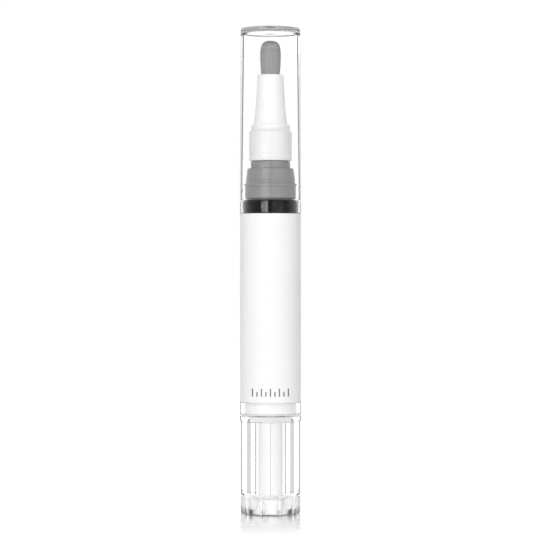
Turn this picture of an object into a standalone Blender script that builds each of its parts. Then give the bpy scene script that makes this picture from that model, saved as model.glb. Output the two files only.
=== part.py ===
"""A twist-up nail polish pen with a capped brush tip.

Turning the knob turns the drive sleeve, which turns a flatted lead screw through a fixed nut. The screw
pushes a piston up the barrel, and the liquid leaves through the neck and a feed tube into the brush.

Metres, +Z up along the pen's axis. The origin is the centre of the knob's flat base.
"""

import math

import bmesh
import bpy
from mathutils import Matrix, Vector

PRODUCT = "nail_polish_pen"

# Clearances
SEAT_GAP = 0.0003
FIT_GAP = 0.00012
RUNNING_GAP = 0.00012
CUT_OVERRUN = 0.0005
UNION_OVERLAP = 0.0003

# Facets
OUTER_STEPS = 40
NECK_STEPS = 32
INNER_STEPS = 24
FILLET_STEPS = 2

# Barrel
BARREL_LENGTH = 0.0600
BARREL_RADIUS = 0.0086
BARREL_DRAFT = 0.00005
BARREL_WALL = 0.0013
BARREL_RIM_FILLET = 0.00015
BARREL_MOUTH_CHAMFER = 0.0003

# Label wrapped in a shallow panel of the barrel
LABEL_THICKNESS = 0.00012
LABEL_SETBACK = 0.00005
LABEL_TOP_MARGIN = 0.0034
LABEL_FOOT_MARGIN = 0.0035

# Seal ring between barrel and neck
SEAL_POCKET_WALL = 0.00066
SEAL_HEIGHT = 0.0037
SEAL_PROUD = 0.0004
SEAL_EDGE_FILLET = 0.0006
SEAL_SLEEVE_LENGTH = 0.0022
SEAL_SLEEVE_WALL = 0.0010

# Cap
CAP_FOOT_WALL = 0.00058
CAP_HEAD_WALL = 0.00088
CAP_DRAFT = 0.00022
CAP_TOP_THICKNESS = 0.0012
CAP_CORNER_FILLET = 0.0004
CAP_CEILING_FILLET = 0.0005
CAP_HEADROOM = 0.0022
CAP_SNAP_HEIGHT = 0.0031
CAP_SNAP_CREST = 0.0004
CAP_SNAP_FLANK = 0.0007
GATE_RADIUS = 0.0023
GATE_DEPTH = 0.0004
GATE_NUB_RADIUS = 0.0006
GATE_NUB_HEIGHT = 0.0002

# Neck
NECK_SIDE_GAP = 0.00085
NECK_BASE_HEIGHT = 0.0034
NECK_BASE_FILLET = 0.0003
NECK_RIB_HEIGHT = 0.0009
NECK_RIB_DEPTH = 0.00022
NECK_WAIST_STEP = 0.00020
NECK_TAPER = 0.00047
NECK_TAPER_HEIGHT = 0.0043
NECK_BEAD_HEIGHT = 0.0005
NECK_BEAD_DEPTH = 0.00008
NECK_TOP_FILLET = 0.0003
NECK_SHOULDER_STEP = 0.00045
NECK_SHOULDER_HEIGHT = 0.0018
NECK_SPIGOT_HEIGHT = 0.0052
NECK_SPIGOT_CHAMFER = 0.0004
NECK_SPIGOT_BEAD_DEPTH = 0.00010
NECK_CHANNEL_RADIUS = 0.0026
NECK_CUP_WALL = 0.0011
NECK_CUP_THROAT_RADIUS = 0.0039
NECK_THROAT_HEIGHT = 0.0016
NECK_ROOF_DEPTH = 0.0003

# Applicator
TIP_STEP = 0.00117
SKIRT_HEIGHT = 0.00805
SKIRT_WALL = 0.00055
SKIRT_CHAMFER = 0.00075
SKIRT_RIM_FILLET = 0.0002
SKIRT_BEAD_DEPTH = 0.00008
SKIRT_BEAD_LENGTH = 0.0005
SKIRT_BEAD_SHARES = (0.61, 0.26, 0.09)
COLLAR_STEP = 0.00058
COLLAR_HEIGHT = 0.0015
COLLAR_FILLET = 0.0006
CONE_STEP = 0.00075
CONE_HEIGHT = 0.0140
CONE_CURVE_STEPS = 6
CONE_CURVE_POWER = 1.5
TIP_WALL = 0.0008
TIP_RIM_FILLET = 0.00035
TIP_CHANNEL_STEP = 0.0003
TIP_THROAT_RADIUS = 0.0036

# Tuft of bristles
TUFT_RADIUS = 0.00268
TUFT_SWELL = 0.00027
TUFT_BELLY_HEIGHT = 0.0044
TUFT_HEIGHT = 0.0096
TUFT_DOME_STEP = 0.00105
TUFT_ROOT_DEPTH = 0.0044
TUFT_ROOT_THICKNESS = 0.0010
TUFT_CHANNEL_RADIUS = 0.00035
TUFT_BORE_GAP = 0.0002
STRAND_RADIUS = 0.00009
STRAND_PITCH = 0.000235
STRAND_SIDES = 3
STRAND_TIP_SHARE = 0.6
TUFT_TIP_SHARE = 0.93

# Brush holder, feed tube and its holder
BRUSH_HOLDER_LENGTH = 0.0070
BRUSH_HOLDER_CHAMFER = 0.0004
TUBE_RADIUS = 0.0009
TUBE_BORE_RADIUS = 0.0005
TUBE_TAIL = 0.0012
TUBE_HOLDER_LENGTH = 0.0050
TUBE_HOLDER_FLANGE_HEIGHT = 0.0010

# Knob
KNOB_HEIGHT = 0.0276
KNOB_STEP = 0.00025
KNOB_BORE_GAP = 0.00078
KNOB_FLOOR = 0.0042
KNOB_FLANGE_PROUD = 0.00005
KNOB_FLANGE_HEIGHT = 0.0017
KNOB_FLANGE_FILLET = 0.0006
KNOB_RIM_FILLET = 0.00015
KNOB_BASE_FILLET = 0.0003
KNOB_DISH_RADIUS = 0.0046
KNOB_DISH_DEPTH = 0.00035
FLUTE_COUNT = 10
FLUTE_LAND = 0.0004
FLUTE_CUTTER_RADIUS = 0.0060
FLUTE_HEIGHT = 0.0060
FLUTE_CROWN = 0.0011
FLUTE_CROWN_STEPS = 4

# Drive sleeve
SLEEVE_RADIUS = 0.00345
SLEEVE_HEX_STEP = 0.00117
SLEEVE_HEX_HEIGHT = 0.0010
SLEEVE_HEX_SIDES = 6
SLEEVE_SHOULDER_STEP = 0.00065
SLEEVE_LIP_DEPTH = 0.0005
SLEEVE_LIP_HEIGHT = 0.0008
SLEEVE_NOSE_HEIGHT = 0.0025
SLEEVE_NOSE_STEP = 0.0003
SLEEVE_FLAT_DEPTH = 0.00035
SLEEVE_SLOT_WIDTH = 0.0006

# Screw nut
NUT_INSET = 0.0007
NUT_CHAMFER = 0.0004
NUT_SKIRT_WALL = 0.0007
NUT_FLOOR_HEIGHT = 0.0015
NUT_CHAMBER_STEP = 0.00035
NUT_CHAMBER_SPARE = 0.0003
NUT_THREAD_HEIGHT = 0.0049
NUT_WAIST_DEPTH = 0.0006
NUT_NOSE_STEP = 0.0008
NUT_NOSE_HEIGHT = 0.0016

# Ratchet
RATCHET_HEIGHT = 0.0034
RATCHET_TEETH = 24
RATCHET_BACK_SHARE = 0.20
RATCHET_TOOTH_SHARE = 0.22
RATCHET_RAMP_SHARE = 0.88
CLICK_WHEEL_STEP = 0.0004
CLICK_HUB_WALL = 0.0006
CLICK_ARMS = 3
CLICK_ARM_SWEEP = math.radians(85)
CLICK_ARM_STEPS = 8
CLICK_ARM_SHARE = 0.35
CLICK_SLOT_SHARE = 0.25
CLICK_SLOT_START_SHARE = 0.25

# Lead screw
SCREW_RADIUS = 0.0022
SCREW_FLAT_DEPTH = 0.0006
SCREW_TAIL_GAP = 0.0005
SCREW_FLANGE_RADIUS = 0.0036
SCREW_FLANGE_HEIGHT = 0.0008
SCREW_NECK_RADIUS = 0.0013
SCREW_NECK_HEIGHT = 0.0019
SCREW_HEAD_RADIUS = 0.0019
SCREW_HEAD_HEIGHT = 0.0017
SCREW_HEAD_CHAMFER = 0.0006

# Piston
PISTON_HEIGHT = 0.0073
PISTON_LIP_HEIGHT = 0.0009
PISTON_LIP_FLANK = 0.0005
PISTON_WAIST_DEPTH = 0.0005
PISTON_CROWN_HEIGHT = 0.0010
PISTON_CROWN_STEP = 0.0016
PISTON_SKIRT_WALL = 0.0006
PISTON_HUB_WALL = 0.0009
PISTON_POCKET_DEPTH = 0.0048
PISTON_SOCKET_LIP_HEIGHT = 0.0013

# Heights of the seats, up from the knob's base
knob_top = KNOB_HEIGHT
barrel_foot = knob_top + SEAT_GAP
barrel_top = barrel_foot + BARREL_LENGTH
seal_foot = barrel_top + SEAL_PROUD - SEAL_HEIGHT
neck_foot = barrel_top + SEAL_PROUD + SEAT_GAP
cap_foot = barrel_top + SEAT_GAP
neck_waist = NECK_BASE_HEIGHT + NECK_RIB_HEIGHT
neck_shoulder = neck_waist + NECK_TAPER_HEIGHT
neck_spigot = neck_shoulder + NECK_SHOULDER_HEIGHT
skirt_foot = neck_foot + neck_spigot + SEAT_GAP
collar_foot = SKIRT_HEIGHT + SKIRT_CHAMFER
cone_foot = collar_foot + COLLAR_HEIGHT
cone_top = cone_foot + CONE_HEIGHT
tuft_exit = skirt_foot + cone_top
root_top = tuft_exit - TUFT_ROOT_DEPTH - SEAT_GAP
tuft_top = tuft_exit + TUFT_HEIGHT
cap_ceiling = tuft_top + CAP_HEADROOM
cap_height = cap_ceiling + CAP_TOP_THICKNESS - cap_foot

# Radii that fit each other, from the barrel's wall inwards
barrel_bore = BARREL_RADIUS - BARREL_WALL
seal_pocket_radius = BARREL_RADIUS - SEAL_POCKET_WALL
seal_radius = seal_pocket_radius - FIT_GAP
seal_sleeve_radius = barrel_bore - FIT_GAP
seal_bore = seal_sleeve_radius - SEAL_SLEEVE_WALL
panel_depth = LABEL_SETBACK + LABEL_THICKNESS + FIT_GAP
cap_foot_bore = BARREL_RADIUS - CAP_FOOT_WALL
cap_head_radius = BARREL_RADIUS - CAP_DRAFT
cap_head_bore = cap_head_radius - CAP_HEAD_WALL
neck_radius = cap_foot_bore - NECK_SIDE_GAP
neck_rib_radius = neck_radius + NECK_RIB_DEPTH
neck_waist_radius = neck_radius - NECK_WAIST_STEP
neck_top_radius = neck_waist_radius - NECK_TAPER
neck_plug_radius = seal_bore - FIT_GAP
skirt_radius = neck_radius - TIP_STEP
skirt_bore = skirt_radius - SKIRT_WALL
neck_spigot_bead_radius = skirt_bore - FIT_GAP
neck_spigot_radius = neck_spigot_bead_radius - NECK_SPIGOT_BEAD_DEPTH
neck_shoulder_radius = skirt_radius - NECK_SHOULDER_STEP
collar_radius = skirt_radius - COLLAR_STEP
cone_foot_radius = collar_radius - CONE_STEP
tuft_belly_radius = TUFT_RADIUS + TUFT_SWELL
tuft_bore = TUFT_RADIUS + TUFT_BORE_GAP
tip_radius = tuft_bore + TIP_WALL
tip_channel_radius = tuft_bore + TIP_CHANNEL_STEP
tuft_root_radius = tip_channel_radius - FIT_GAP
tube_seat_radius = TUBE_RADIUS + FIT_GAP
knob_radius = BARREL_RADIUS - KNOB_STEP
knob_bore_radius = SLEEVE_RADIUS + KNOB_BORE_GAP
sleeve_hex_radius = knob_bore_radius + SLEEVE_HEX_STEP
knob_flange_radius = BARREL_RADIUS + KNOB_FLANGE_PROUD
screw_flat = SCREW_RADIUS - SCREW_FLAT_DEPTH
sleeve_bore = SCREW_RADIUS + RUNNING_GAP
sleeve_bore_flat = screw_flat + RUNNING_GAP
sleeve_flat = SLEEVE_RADIUS - SLEEVE_FLAT_DEPTH
sleeve_shoulder_radius = SLEEVE_RADIUS + SLEEVE_SHOULDER_STEP
sleeve_lip_radius = SLEEVE_RADIUS + SLEEVE_LIP_DEPTH
nut_radius = barrel_bore - FIT_GAP
nut_skirt_bore = nut_radius - NUT_SKIRT_WALL
nut_bearing_bore = SLEEVE_RADIUS + RUNNING_GAP
nut_chamber_radius = sleeve_lip_radius + NUT_CHAMBER_STEP
nut_thread_bore = SCREW_RADIUS + RUNNING_GAP
ratchet_radius = nut_skirt_bore - FIT_GAP
click_hub_radius = SLEEVE_RADIUS + FIT_GAP + CLICK_HUB_WALL
ratchet_space = ratchet_radius - click_hub_radius
ratchet_root_radius = ratchet_radius - ratchet_space * RATCHET_BACK_SHARE
ratchet_tip_radius = ratchet_root_radius - ratchet_space * RATCHET_TOOTH_SHARE
click_tip_radius = ratchet_tip_radius - RUNNING_GAP
piston_lip_radius = barrel_bore - RUNNING_GAP
piston_waist_radius = piston_lip_radius - PISTON_WAIST_DEPTH
piston_socket_radius = SCREW_HEAD_RADIUS + RUNNING_GAP
piston_socket_lip_radius = SCREW_NECK_RADIUS + RUNNING_GAP
piston_hub_radius = piston_socket_radius + PISTON_HUB_WALL

# Heights in the mechanism, up from the knob's base
nut_foot = barrel_foot + NUT_INSET
ratchet_foot = nut_foot + SEAT_GAP
click_wheel_height = RATCHET_HEIGHT - CLICK_WHEEL_STEP
nut_skirt_depth = RATCHET_HEIGHT + SEAT_GAP + SEAT_GAP
nut_floor_top = nut_skirt_depth + NUT_FLOOR_HEIGHT
sleeve_lip_foot = nut_foot + nut_floor_top + SEAT_GAP
sleeve_top = sleeve_lip_foot + SLEEVE_LIP_HEIGHT + SLEEVE_NOSE_HEIGHT
nut_thread_foot = sleeve_top - nut_foot + NUT_CHAMBER_SPARE
nut_height = nut_thread_foot + NUT_THREAD_HEIGHT
click_wheel_foot = ratchet_foot + SEAT_GAP
sleeve_foot = KNOB_FLOOR + SEAT_GAP
sleeve_hex_foot = knob_top - SLEEVE_HEX_HEIGHT - SEAT_GAP
screw_foot = sleeve_foot + SCREW_TAIL_GAP
screw_flange_foot = nut_foot + nut_height + SEAT_GAP
screw_neck_foot = screw_flange_foot + SCREW_FLANGE_HEIGHT
screw_head_foot = screw_neck_foot + SCREW_NECK_HEIGHT
piston_foot = screw_neck_foot + SEAT_GAP


def clear_scene():
    for item in list(bpy.data.objects):
        bpy.data.objects.remove(item)


def collection(name):
    group = bpy.data.collections.new(name)
    bpy.context.scene.collection.children.link(group)
    return group


def plastic(name, colour, roughness, transmission=0.0):
    """A moulded plastic, clear where its transmission is 1."""
    material = bpy.data.materials.new(name)
    material.use_nodes = True
    shader = material.node_tree.nodes["Principled BSDF"]
    shader.inputs["Base Color"].default_value = (*colour, 1.0)
    shader.inputs["Roughness"].default_value = roughness
    shader.inputs["Metallic"].default_value = 0.0
    shader.inputs["Transmission Weight"].default_value = transmission
    return material


def rounded(corners, closed):
    """The outline through the corners (radius, height, fillet), each fillet drawn as a short arc."""
    points = []
    count = len(corners)
    for index, corner in enumerate(corners):
        here = Vector(corner[:2])
        fillet = corner[2] if len(corner) > 2 else 0
        if not fillet or (not closed and index in (0, count - 1)):
            points.append(here)
            continue
        before = Vector(corners[index - 1][:2]) - here
        after = Vector(corners[(index + 1) % count][:2]) - here
        half_angle = before.angle(after) / 2
        setback = min(fillet / math.tan(half_angle), before.length / 2, after.length / 2)
        radius = setback * math.tan(half_angle)
        bisector = (before.normalized() + after.normalized()).normalized()
        centre = here + bisector * (radius / math.sin(half_angle))
        start = here + before.normalized() * setback - centre
        turn = start.angle_signed(here + after.normalized() * setback - centre)
        for step in range(FILLET_STEPS + 1):
            share = step / FILLET_STEPS
            points.append(centre + Matrix.Rotation(-turn * share, 2) @ start)
    return points


def turned(name, corners, steps, closed=True):
    """A body turned about Z: down its outer side, then back up its bore where it has one."""
    points = rounded(corners, closed)
    mesh = bpy.data.meshes.new(name)
    edges = [(index, index + 1) for index in range(len(points) - 1)]
    if closed:
        edges.append((len(points) - 1, 0))
    mesh.from_pydata([(point.x, 0, point.y) for point in points], edges, [])
    body = bpy.data.objects.new(name, mesh)
    screw = body.modifiers.new("turn", "SCREW")
    screw.axis = "Z"
    screw.angle = math.tau
    screw.steps = steps
    screw.render_steps = steps
    screw.use_merge_vertices = True
    screw.merge_threshold = 0.000001
    screw.use_smooth_shade = True
    return body


def finished(body, material, axis, height, group):
    """Puts a piece at its height on the pen's axis, under the axis that carries it."""
    body.data.materials.append(material)
    body.parent = axis
    body.location.z = height - axis["height"]
    group.objects.link(body)


def axis_marker(name, height, group, parent=None):
    """An empty on the pen's axis that carries the pieces of one moving body."""
    marker = bpy.data.objects.new(name, None)
    marker.empty_display_size = BARREL_RADIUS
    marker["height"] = height
    marker.parent = parent
    marker.location.z = height - (parent["height"] if parent else 0)
    group.objects.link(marker)
    return marker


def shape_by(body, operation, tool, group):
    """Cuts a piece with a tool body, or joins the tool to it. The tool moves with the piece, hidden."""
    tool.parent = body
    tool.hide_render = True
    tool.display_type = "WIRE"
    group.objects.link(tool)
    modifier = body.modifiers.new(tool.name, "BOOLEAN")
    modifier.operation = operation
    modifier.solver = "EXACT"
    modifier.object = tool


def prism(name, radius, height, sides, foot, flat=None):
    """An upright bar of the given number of sides. A bar with flats is turned by half a side."""
    mesh = bmesh.new()
    turn = math.pi / sides if flat else 0
    bmesh.ops.create_cone(
        mesh,
        cap_ends=True,
        segments=sides,
        radius1=radius,
        radius2=radius,
        depth=height,
        matrix=Matrix.Rotation(turn, 4, "Z"),
    )
    for vertex in mesh.verts:
        vertex.co.z += foot + height / 2
        if flat:
            vertex.co.y = max(-flat, min(flat, vertex.co.y))
    data = bpy.data.meshes.new(name)
    mesh.to_mesh(data)
    mesh.free()
    return bpy.data.objects.new(name, data)


def block(name, size, centre):
    """A box of the given size about its centre."""
    mesh = bmesh.new()
    bmesh.ops.create_cube(mesh, size=1, matrix=Matrix.Diagonal((*size, 1)))
    bmesh.ops.translate(mesh, vec=centre, verts=mesh.verts)
    data = bpy.data.meshes.new(name)
    mesh.to_mesh(data)
    mesh.free()
    return bpy.data.objects.new(name, data)


def plate(name, outlines, thickness):
    """A flat plate between closed outlines of (radius, angle) points, its foot on Z = 0 of its own frame."""
    data = bpy.data.curves.new(name, "CURVE")
    data.dimensions = "2D"
    data.fill_mode = "BOTH"
    data.extrude = thickness / 2
    for outline in outlines:
        spline = data.splines.new("POLY")
        spline.points.add(len(outline) - 1)
        for point, (radius, angle) in zip(spline.points, outline):
            point.co = (radius * math.cos(angle), radius * math.sin(angle), 0, 1)
        spline.use_cyclic_u = True
    return bpy.data.objects.new(name, data)


def circle(radius, steps):
    return [(radius, math.tau * step / steps) for step in range(steps)]


def barrel():
    """The clear tube: a pocket for the seal ring at its top, a panel for the label on its side."""
    foot_radius = BARREL_RADIUS + BARREL_DRAFT
    panel_top = BARREL_LENGTH - LABEL_TOP_MARGIN
    pocket_floor = seal_foot - SEAT_GAP - barrel_foot
    return turned(
        "barrel",
        [
            (BARREL_RADIUS, BARREL_LENGTH, BARREL_RIM_FILLET),
            (BARREL_RADIUS, panel_top),
            (BARREL_RADIUS - panel_depth, panel_top),
            (foot_radius - panel_depth, LABEL_FOOT_MARGIN),
            (foot_radius, LABEL_FOOT_MARGIN),
            (foot_radius, 0, BARREL_RIM_FILLET),
            (barrel_bore + BARREL_MOUTH_CHAMFER, 0),
            (barrel_bore, BARREL_MOUTH_CHAMFER),
            (barrel_bore, pocket_floor),
            (seal_pocket_radius, pocket_floor),
            (seal_pocket_radius, BARREL_LENGTH),
        ],
        OUTER_STEPS,
    )


def label_sleeve():
    """The wrap: a thin sleeve that follows the draft of the barrel's panel."""
    top_radius = BARREL_RADIUS - LABEL_SETBACK
    foot_radius = top_radius + BARREL_DRAFT
    height = label_height()
    return turned(
        "label_sleeve",
        [
            (top_radius, height),
            (foot_radius, 0),
            (foot_radius - LABEL_THICKNESS, 0),
            (top_radius - LABEL_THICKNESS, height),
        ],
        OUTER_STEPS,
    )


def label_height():
    return BARREL_LENGTH - LABEL_TOP_MARGIN - LABEL_FOOT_MARGIN - FIT_GAP - FIT_GAP


def seal_ring():
    """The elastic ring: a flange in the barrel's pocket over a sleeve that seals the bore."""
    return turned(
        "seal_ring",
        [
            (seal_radius, SEAL_HEIGHT, SEAL_EDGE_FILLET),
            (seal_radius, 0),
            (seal_sleeve_radius, 0),
            (seal_sleeve_radius, -SEAL_SLEEVE_LENGTH),
            (seal_bore, -SEAL_SLEEVE_LENGTH),
            (seal_bore, SEAL_HEIGHT),
        ],
        OUTER_STEPS,
    )


def bead(radius, height, depth, length):
    """Three points of a low round bead on a wall that runs downwards."""
    return [
        (radius, height + length / 2),
        (radius + depth, height),
        (radius, height - length / 2),
    ]


def neck():
    """The neck: a snap rib for the cap, a spigot for the tip above and a plug into the barrel below."""
    rib_foot = NECK_BASE_HEIGHT
    top = neck_spigot + NECK_SPIGOT_HEIGHT
    plug_foot = seal_foot - SEAL_SLEEVE_LENGTH - neck_foot
    throat_foot = plug_foot + NECK_THROAT_HEIGHT
    roof = -NECK_ROOF_DEPTH
    low_bead = NECK_BASE_HEIGHT / 2
    waist_bead = neck_waist + NECK_TAPER_HEIGHT / 4
    waist_bead_radius = neck_waist_radius - NECK_TAPER / 4
    spigot_beads = [neck_spigot + NECK_SPIGOT_HEIGHT / 2, neck_spigot + NECK_SPIGOT_HEIGHT / 5]
    outside = [
        (neck_spigot_radius - NECK_SPIGOT_CHAMFER, top),
        (neck_spigot_radius, top - NECK_SPIGOT_CHAMFER),
    ]
    for height in spigot_beads:
        outside += bead(neck_spigot_radius, height, NECK_SPIGOT_BEAD_DEPTH, NECK_BEAD_HEIGHT)
    outside += [
        (neck_spigot_radius, neck_spigot),
        (neck_shoulder_radius, neck_spigot),
        (neck_shoulder_radius, neck_shoulder),
        (neck_top_radius, neck_shoulder, NECK_TOP_FILLET),
    ]
    outside += bead(waist_bead_radius, waist_bead, NECK_BEAD_DEPTH, NECK_BEAD_HEIGHT)
    outside += [
        (neck_waist_radius, neck_waist),
        (neck_rib_radius, neck_waist, NECK_RIB_DEPTH),
        (neck_rib_radius, rib_foot, NECK_RIB_DEPTH),
        (neck_radius, rib_foot),
    ]
    outside += bead(neck_radius, low_bead, NECK_BEAD_DEPTH, NECK_BEAD_HEIGHT)
    outside += [
        (neck_radius, 0, NECK_BASE_FILLET),
        (neck_plug_radius, 0),
        (neck_plug_radius, plug_foot + NECK_SPIGOT_CHAMFER),
        (neck_plug_radius - NECK_SPIGOT_CHAMFER, plug_foot),
    ]
    inside = [
        (neck_plug_radius - NECK_CUP_WALL, plug_foot),
        (NECK_CUP_THROAT_RADIUS, throat_foot),
        (NECK_CUP_THROAT_RADIUS, roof),
        (NECK_CHANNEL_RADIUS, roof),
        (NECK_CHANNEL_RADIUS, top),
    ]
    return turned("neck", outside + inside, NECK_STEPS)


def cone_outline():
    """The tip's flared side, from its rim down to the collar."""
    points = []
    for step in range(1, CONE_CURVE_STEPS + 1):
        share = step / CONE_CURVE_STEPS
        flare = share**CONE_CURVE_POWER
        radius = tip_radius + (cone_foot_radius - tip_radius) * flare
        points.append((radius, cone_top - CONE_HEIGHT * share))
    return points


def applicator():
    """The tip: a skirt over the neck's spigot, a collar and a flared cone with a stepped channel."""
    spigot_roof = NECK_SPIGOT_HEIGHT
    channel_top = cone_top - TUFT_ROOT_DEPTH
    outside = [(tip_radius, cone_top, TIP_RIM_FILLET)] + cone_outline()
    outside += [
        (collar_radius, cone_foot, COLLAR_FILLET),
        (collar_radius, collar_foot),
        (skirt_radius, SKIRT_HEIGHT),
    ]
    for share in SKIRT_BEAD_SHARES:
        outside += bead(skirt_radius, SKIRT_HEIGHT * share, SKIRT_BEAD_DEPTH, SKIRT_BEAD_LENGTH)
    outside.append((skirt_radius, 0, SKIRT_RIM_FILLET))
    inside = [
        (skirt_bore, 0),
        (skirt_bore, spigot_roof),
        (TIP_THROAT_RADIUS, spigot_roof),
        (tip_channel_radius, collar_foot),
        (tip_channel_radius, channel_top),
        (tuft_bore, channel_top),
        (tuft_bore, cone_top),
    ]
    return turned("applicator", outside + inside, NECK_STEPS)


def tuft_foot_radius():
    """Radius of the tuft at its root, on the line through its exit and its belly."""
    return TUFT_RADIUS - TUFT_SWELL / TUFT_BELLY_HEIGHT * (TUFT_ROOT_DEPTH + SEAT_GAP)


def strand_roots():
    """Each strand's radius and angle at the root: rings one pitch apart, filled one pitch apart."""
    first = TUFT_CHANNEL_RADIUS + STRAND_PITCH / 2
    last = tuft_foot_radius() - STRAND_RADIUS
    gaps = int((last - first) / STRAND_PITCH)
    roots = []
    for ring in range(gaps + 1):
        radius = first + (last - first) * ring / gaps
        count = int(math.tau * radius / STRAND_PITCH)
        for place in range(count):
            roots.append((radius, math.tau * (place + ring / 2) / count))
    return roots


def strand_top(share):
    """Height of the tuft's domed end above its exit, for a strand at this share of the tuft's radius."""
    rim = 1 - TUFT_DOME_STEP / tuft_belly_radius
    lean = max(0, (share - rim) / (1 - rim))
    return TUFT_HEIGHT - TUFT_DOME_STEP * (1 - math.sqrt(1 - lean * lean))


def strand(mesh, angle, levels):
    """One strand: a small polygon drawn up through levels of (reach from the axis, height, width share)."""
    heading = Vector((math.cos(angle), math.sin(angle), 0))
    face = None
    for index, (reach, height, width_share) in enumerate(levels):
        centre = heading * reach + Vector((0, 0, height))
        if face is None:
            place = Matrix.Translation(centre) @ Matrix.Rotation(angle, 4, "Z")
            foot = bmesh.ops.create_circle(
                mesh, cap_ends=True, segments=STRAND_SIDES, radius=STRAND_RADIUS, matrix=place
            )
            face = foot["verts"][0].link_faces[0]
            continue
        drawn = bmesh.ops.extrude_face_region(mesh, geom=[face])
        if index > 1:
            bmesh.ops.delete(mesh, geom=[face], context="FACES_ONLY")
        face = next(item for item in drawn["geom"] if isinstance(item, bmesh.types.BMFace))
        middle = face.calc_center_median()
        for vertex in face.verts:
            vertex.co = centre + (vertex.co - middle) * width_share


def strands():
    """All the strands: each leaves the root, swells to the belly, then leans in and ends on the dome."""
    root_radius = tuft_foot_radius()
    root_depth = TUFT_ROOT_DEPTH + SEAT_GAP + UNION_OVERLAP
    mesh = bmesh.new()
    for radius, angle in strand_roots():
        share = radius / root_radius
        belly = share * tuft_belly_radius
        levels = [
            (radius, -root_depth, 1),
            (belly, TUFT_BELLY_HEIGHT, 1),
            (belly * TUFT_TIP_SHARE, strand_top(share), STRAND_TIP_SHARE),
        ]
        strand(mesh, angle, levels)
    bmesh.ops.recalc_face_normals(mesh, faces=mesh.faces)
    data = bpy.data.meshes.new("strands")
    mesh.to_mesh(data)
    mesh.free()
    return bpy.data.objects.new("strands", data)


def bristles(cutters):
    """The tuft: strands fused to their root, a disc with a channel for the liquid."""
    top = root_top - tuft_exit
    foot = top - TUFT_ROOT_THICKNESS
    body = turned(
        "bristles",
        [
            (tuft_root_radius, top),
            (tuft_root_radius, foot),
            (TUFT_CHANNEL_RADIUS, foot),
            (TUFT_CHANNEL_RADIUS, top),
        ],
        INNER_STEPS,
    )
    shape_by(body, "UNION", strands(), cutters)
    return body


def brush_holder():
    """The sleeve that presses the tuft's root against its seat."""
    radius = tip_channel_radius - FIT_GAP
    return turned(
        "brush_holder",
        [
            (radius, BRUSH_HOLDER_LENGTH),
            (radius, BRUSH_HOLDER_CHAMFER),
            (radius - BRUSH_HOLDER_CHAMFER, 0),
            (tube_seat_radius, 0),
            (tube_seat_radius, BRUSH_HOLDER_LENGTH),
        ],
        INNER_STEPS,
    )


def feed_tube(length):
    """The thin tube from the neck to the tuft's root."""
    return turned(
        "feed_tube",
        [(TUBE_RADIUS, length), (TUBE_RADIUS, 0), (TUBE_BORE_RADIUS, 0), (TUBE_BORE_RADIUS, length)],
        INNER_STEPS,
    )


def tube_holder():
    """The plug in the neck's channel, its flange under the neck's roof."""
    radius = NECK_CHANNEL_RADIUS - FIT_GAP
    flange_radius = NECK_CUP_THROAT_RADIUS - FIT_GAP
    return turned(
        "tube_holder",
        [
            (radius, TUBE_HOLDER_LENGTH),
            (radius, TUBE_HOLDER_FLANGE_HEIGHT),
            (flange_radius, TUBE_HOLDER_FLANGE_HEIGHT),
            (flange_radius, 0),
            (tube_seat_radius, 0),
            (tube_seat_radius, TUBE_HOLDER_LENGTH),
        ],
        INNER_STEPS,
    )


def cap():
    """The clear cap: a drafted tube with a closed top, a gate dimple and a snap bead near its foot."""
    crest_radius = neck_rib_radius + RUNNING_GAP
    crest_top = CAP_SNAP_HEIGHT + CAP_SNAP_CREST / 2
    crest_foot = CAP_SNAP_HEIGHT - CAP_SNAP_CREST / 2
    ceiling = cap_ceiling - cap_foot
    gate_floor = cap_height - GATE_DEPTH
    return turned(
        "cap",
        [
            (0, gate_floor + GATE_NUB_HEIGHT),
            (GATE_NUB_RADIUS, gate_floor + GATE_NUB_HEIGHT),
            (GATE_NUB_RADIUS, gate_floor),
            (GATE_RADIUS - GATE_DEPTH, gate_floor),
            (GATE_RADIUS, cap_height),
            (cap_head_radius, cap_height, CAP_CORNER_FILLET),
            (BARREL_RADIUS, 0),
            (cap_foot_bore, 0),
            (cap_foot_bore, crest_foot - CAP_SNAP_FLANK),
            (crest_radius, crest_foot),
            (crest_radius, crest_top),
            (cap_foot_bore, crest_top + CAP_SNAP_FLANK),
            (cap_head_bore, ceiling, CAP_CEILING_FILLET),
            (0, ceiling),
        ],
        OUTER_STEPS,
        closed=False,
    )


def flute_cutter(name):
    """A round bar with a low domed end, whose side cuts one flute."""
    half_pitch = math.pi / FLUTE_COUNT - FLUTE_LAND / 2 / knob_radius
    chord = knob_radius * math.sin(half_pitch)
    inset = math.sqrt(FLUTE_CUTTER_RADIUS**2 - chord**2)
    distance = knob_radius * math.cos(half_pitch) + inset
    reach = (distance - knob_radius) / FLUTE_CUTTER_RADIUS
    dome = FLUTE_CROWN / math.sqrt(1 - reach * reach)
    spring = FLUTE_HEIGHT - FLUTE_CROWN
    outline = []
    for step in range(FLUTE_CROWN_STEPS + 1):
        rise = math.pi / 2 * (1 - step / FLUTE_CROWN_STEPS)
        outline.append((FLUTE_CUTTER_RADIUS * math.cos(rise), spring + dome * math.sin(rise)))
    outline[0] = (0, spring + dome)
    outline += [(FLUTE_CUTTER_RADIUS, -CUT_OVERRUN), (0, -CUT_OVERRUN)]
    return turned(name, outline, OUTER_STEPS, closed=False), distance


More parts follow.
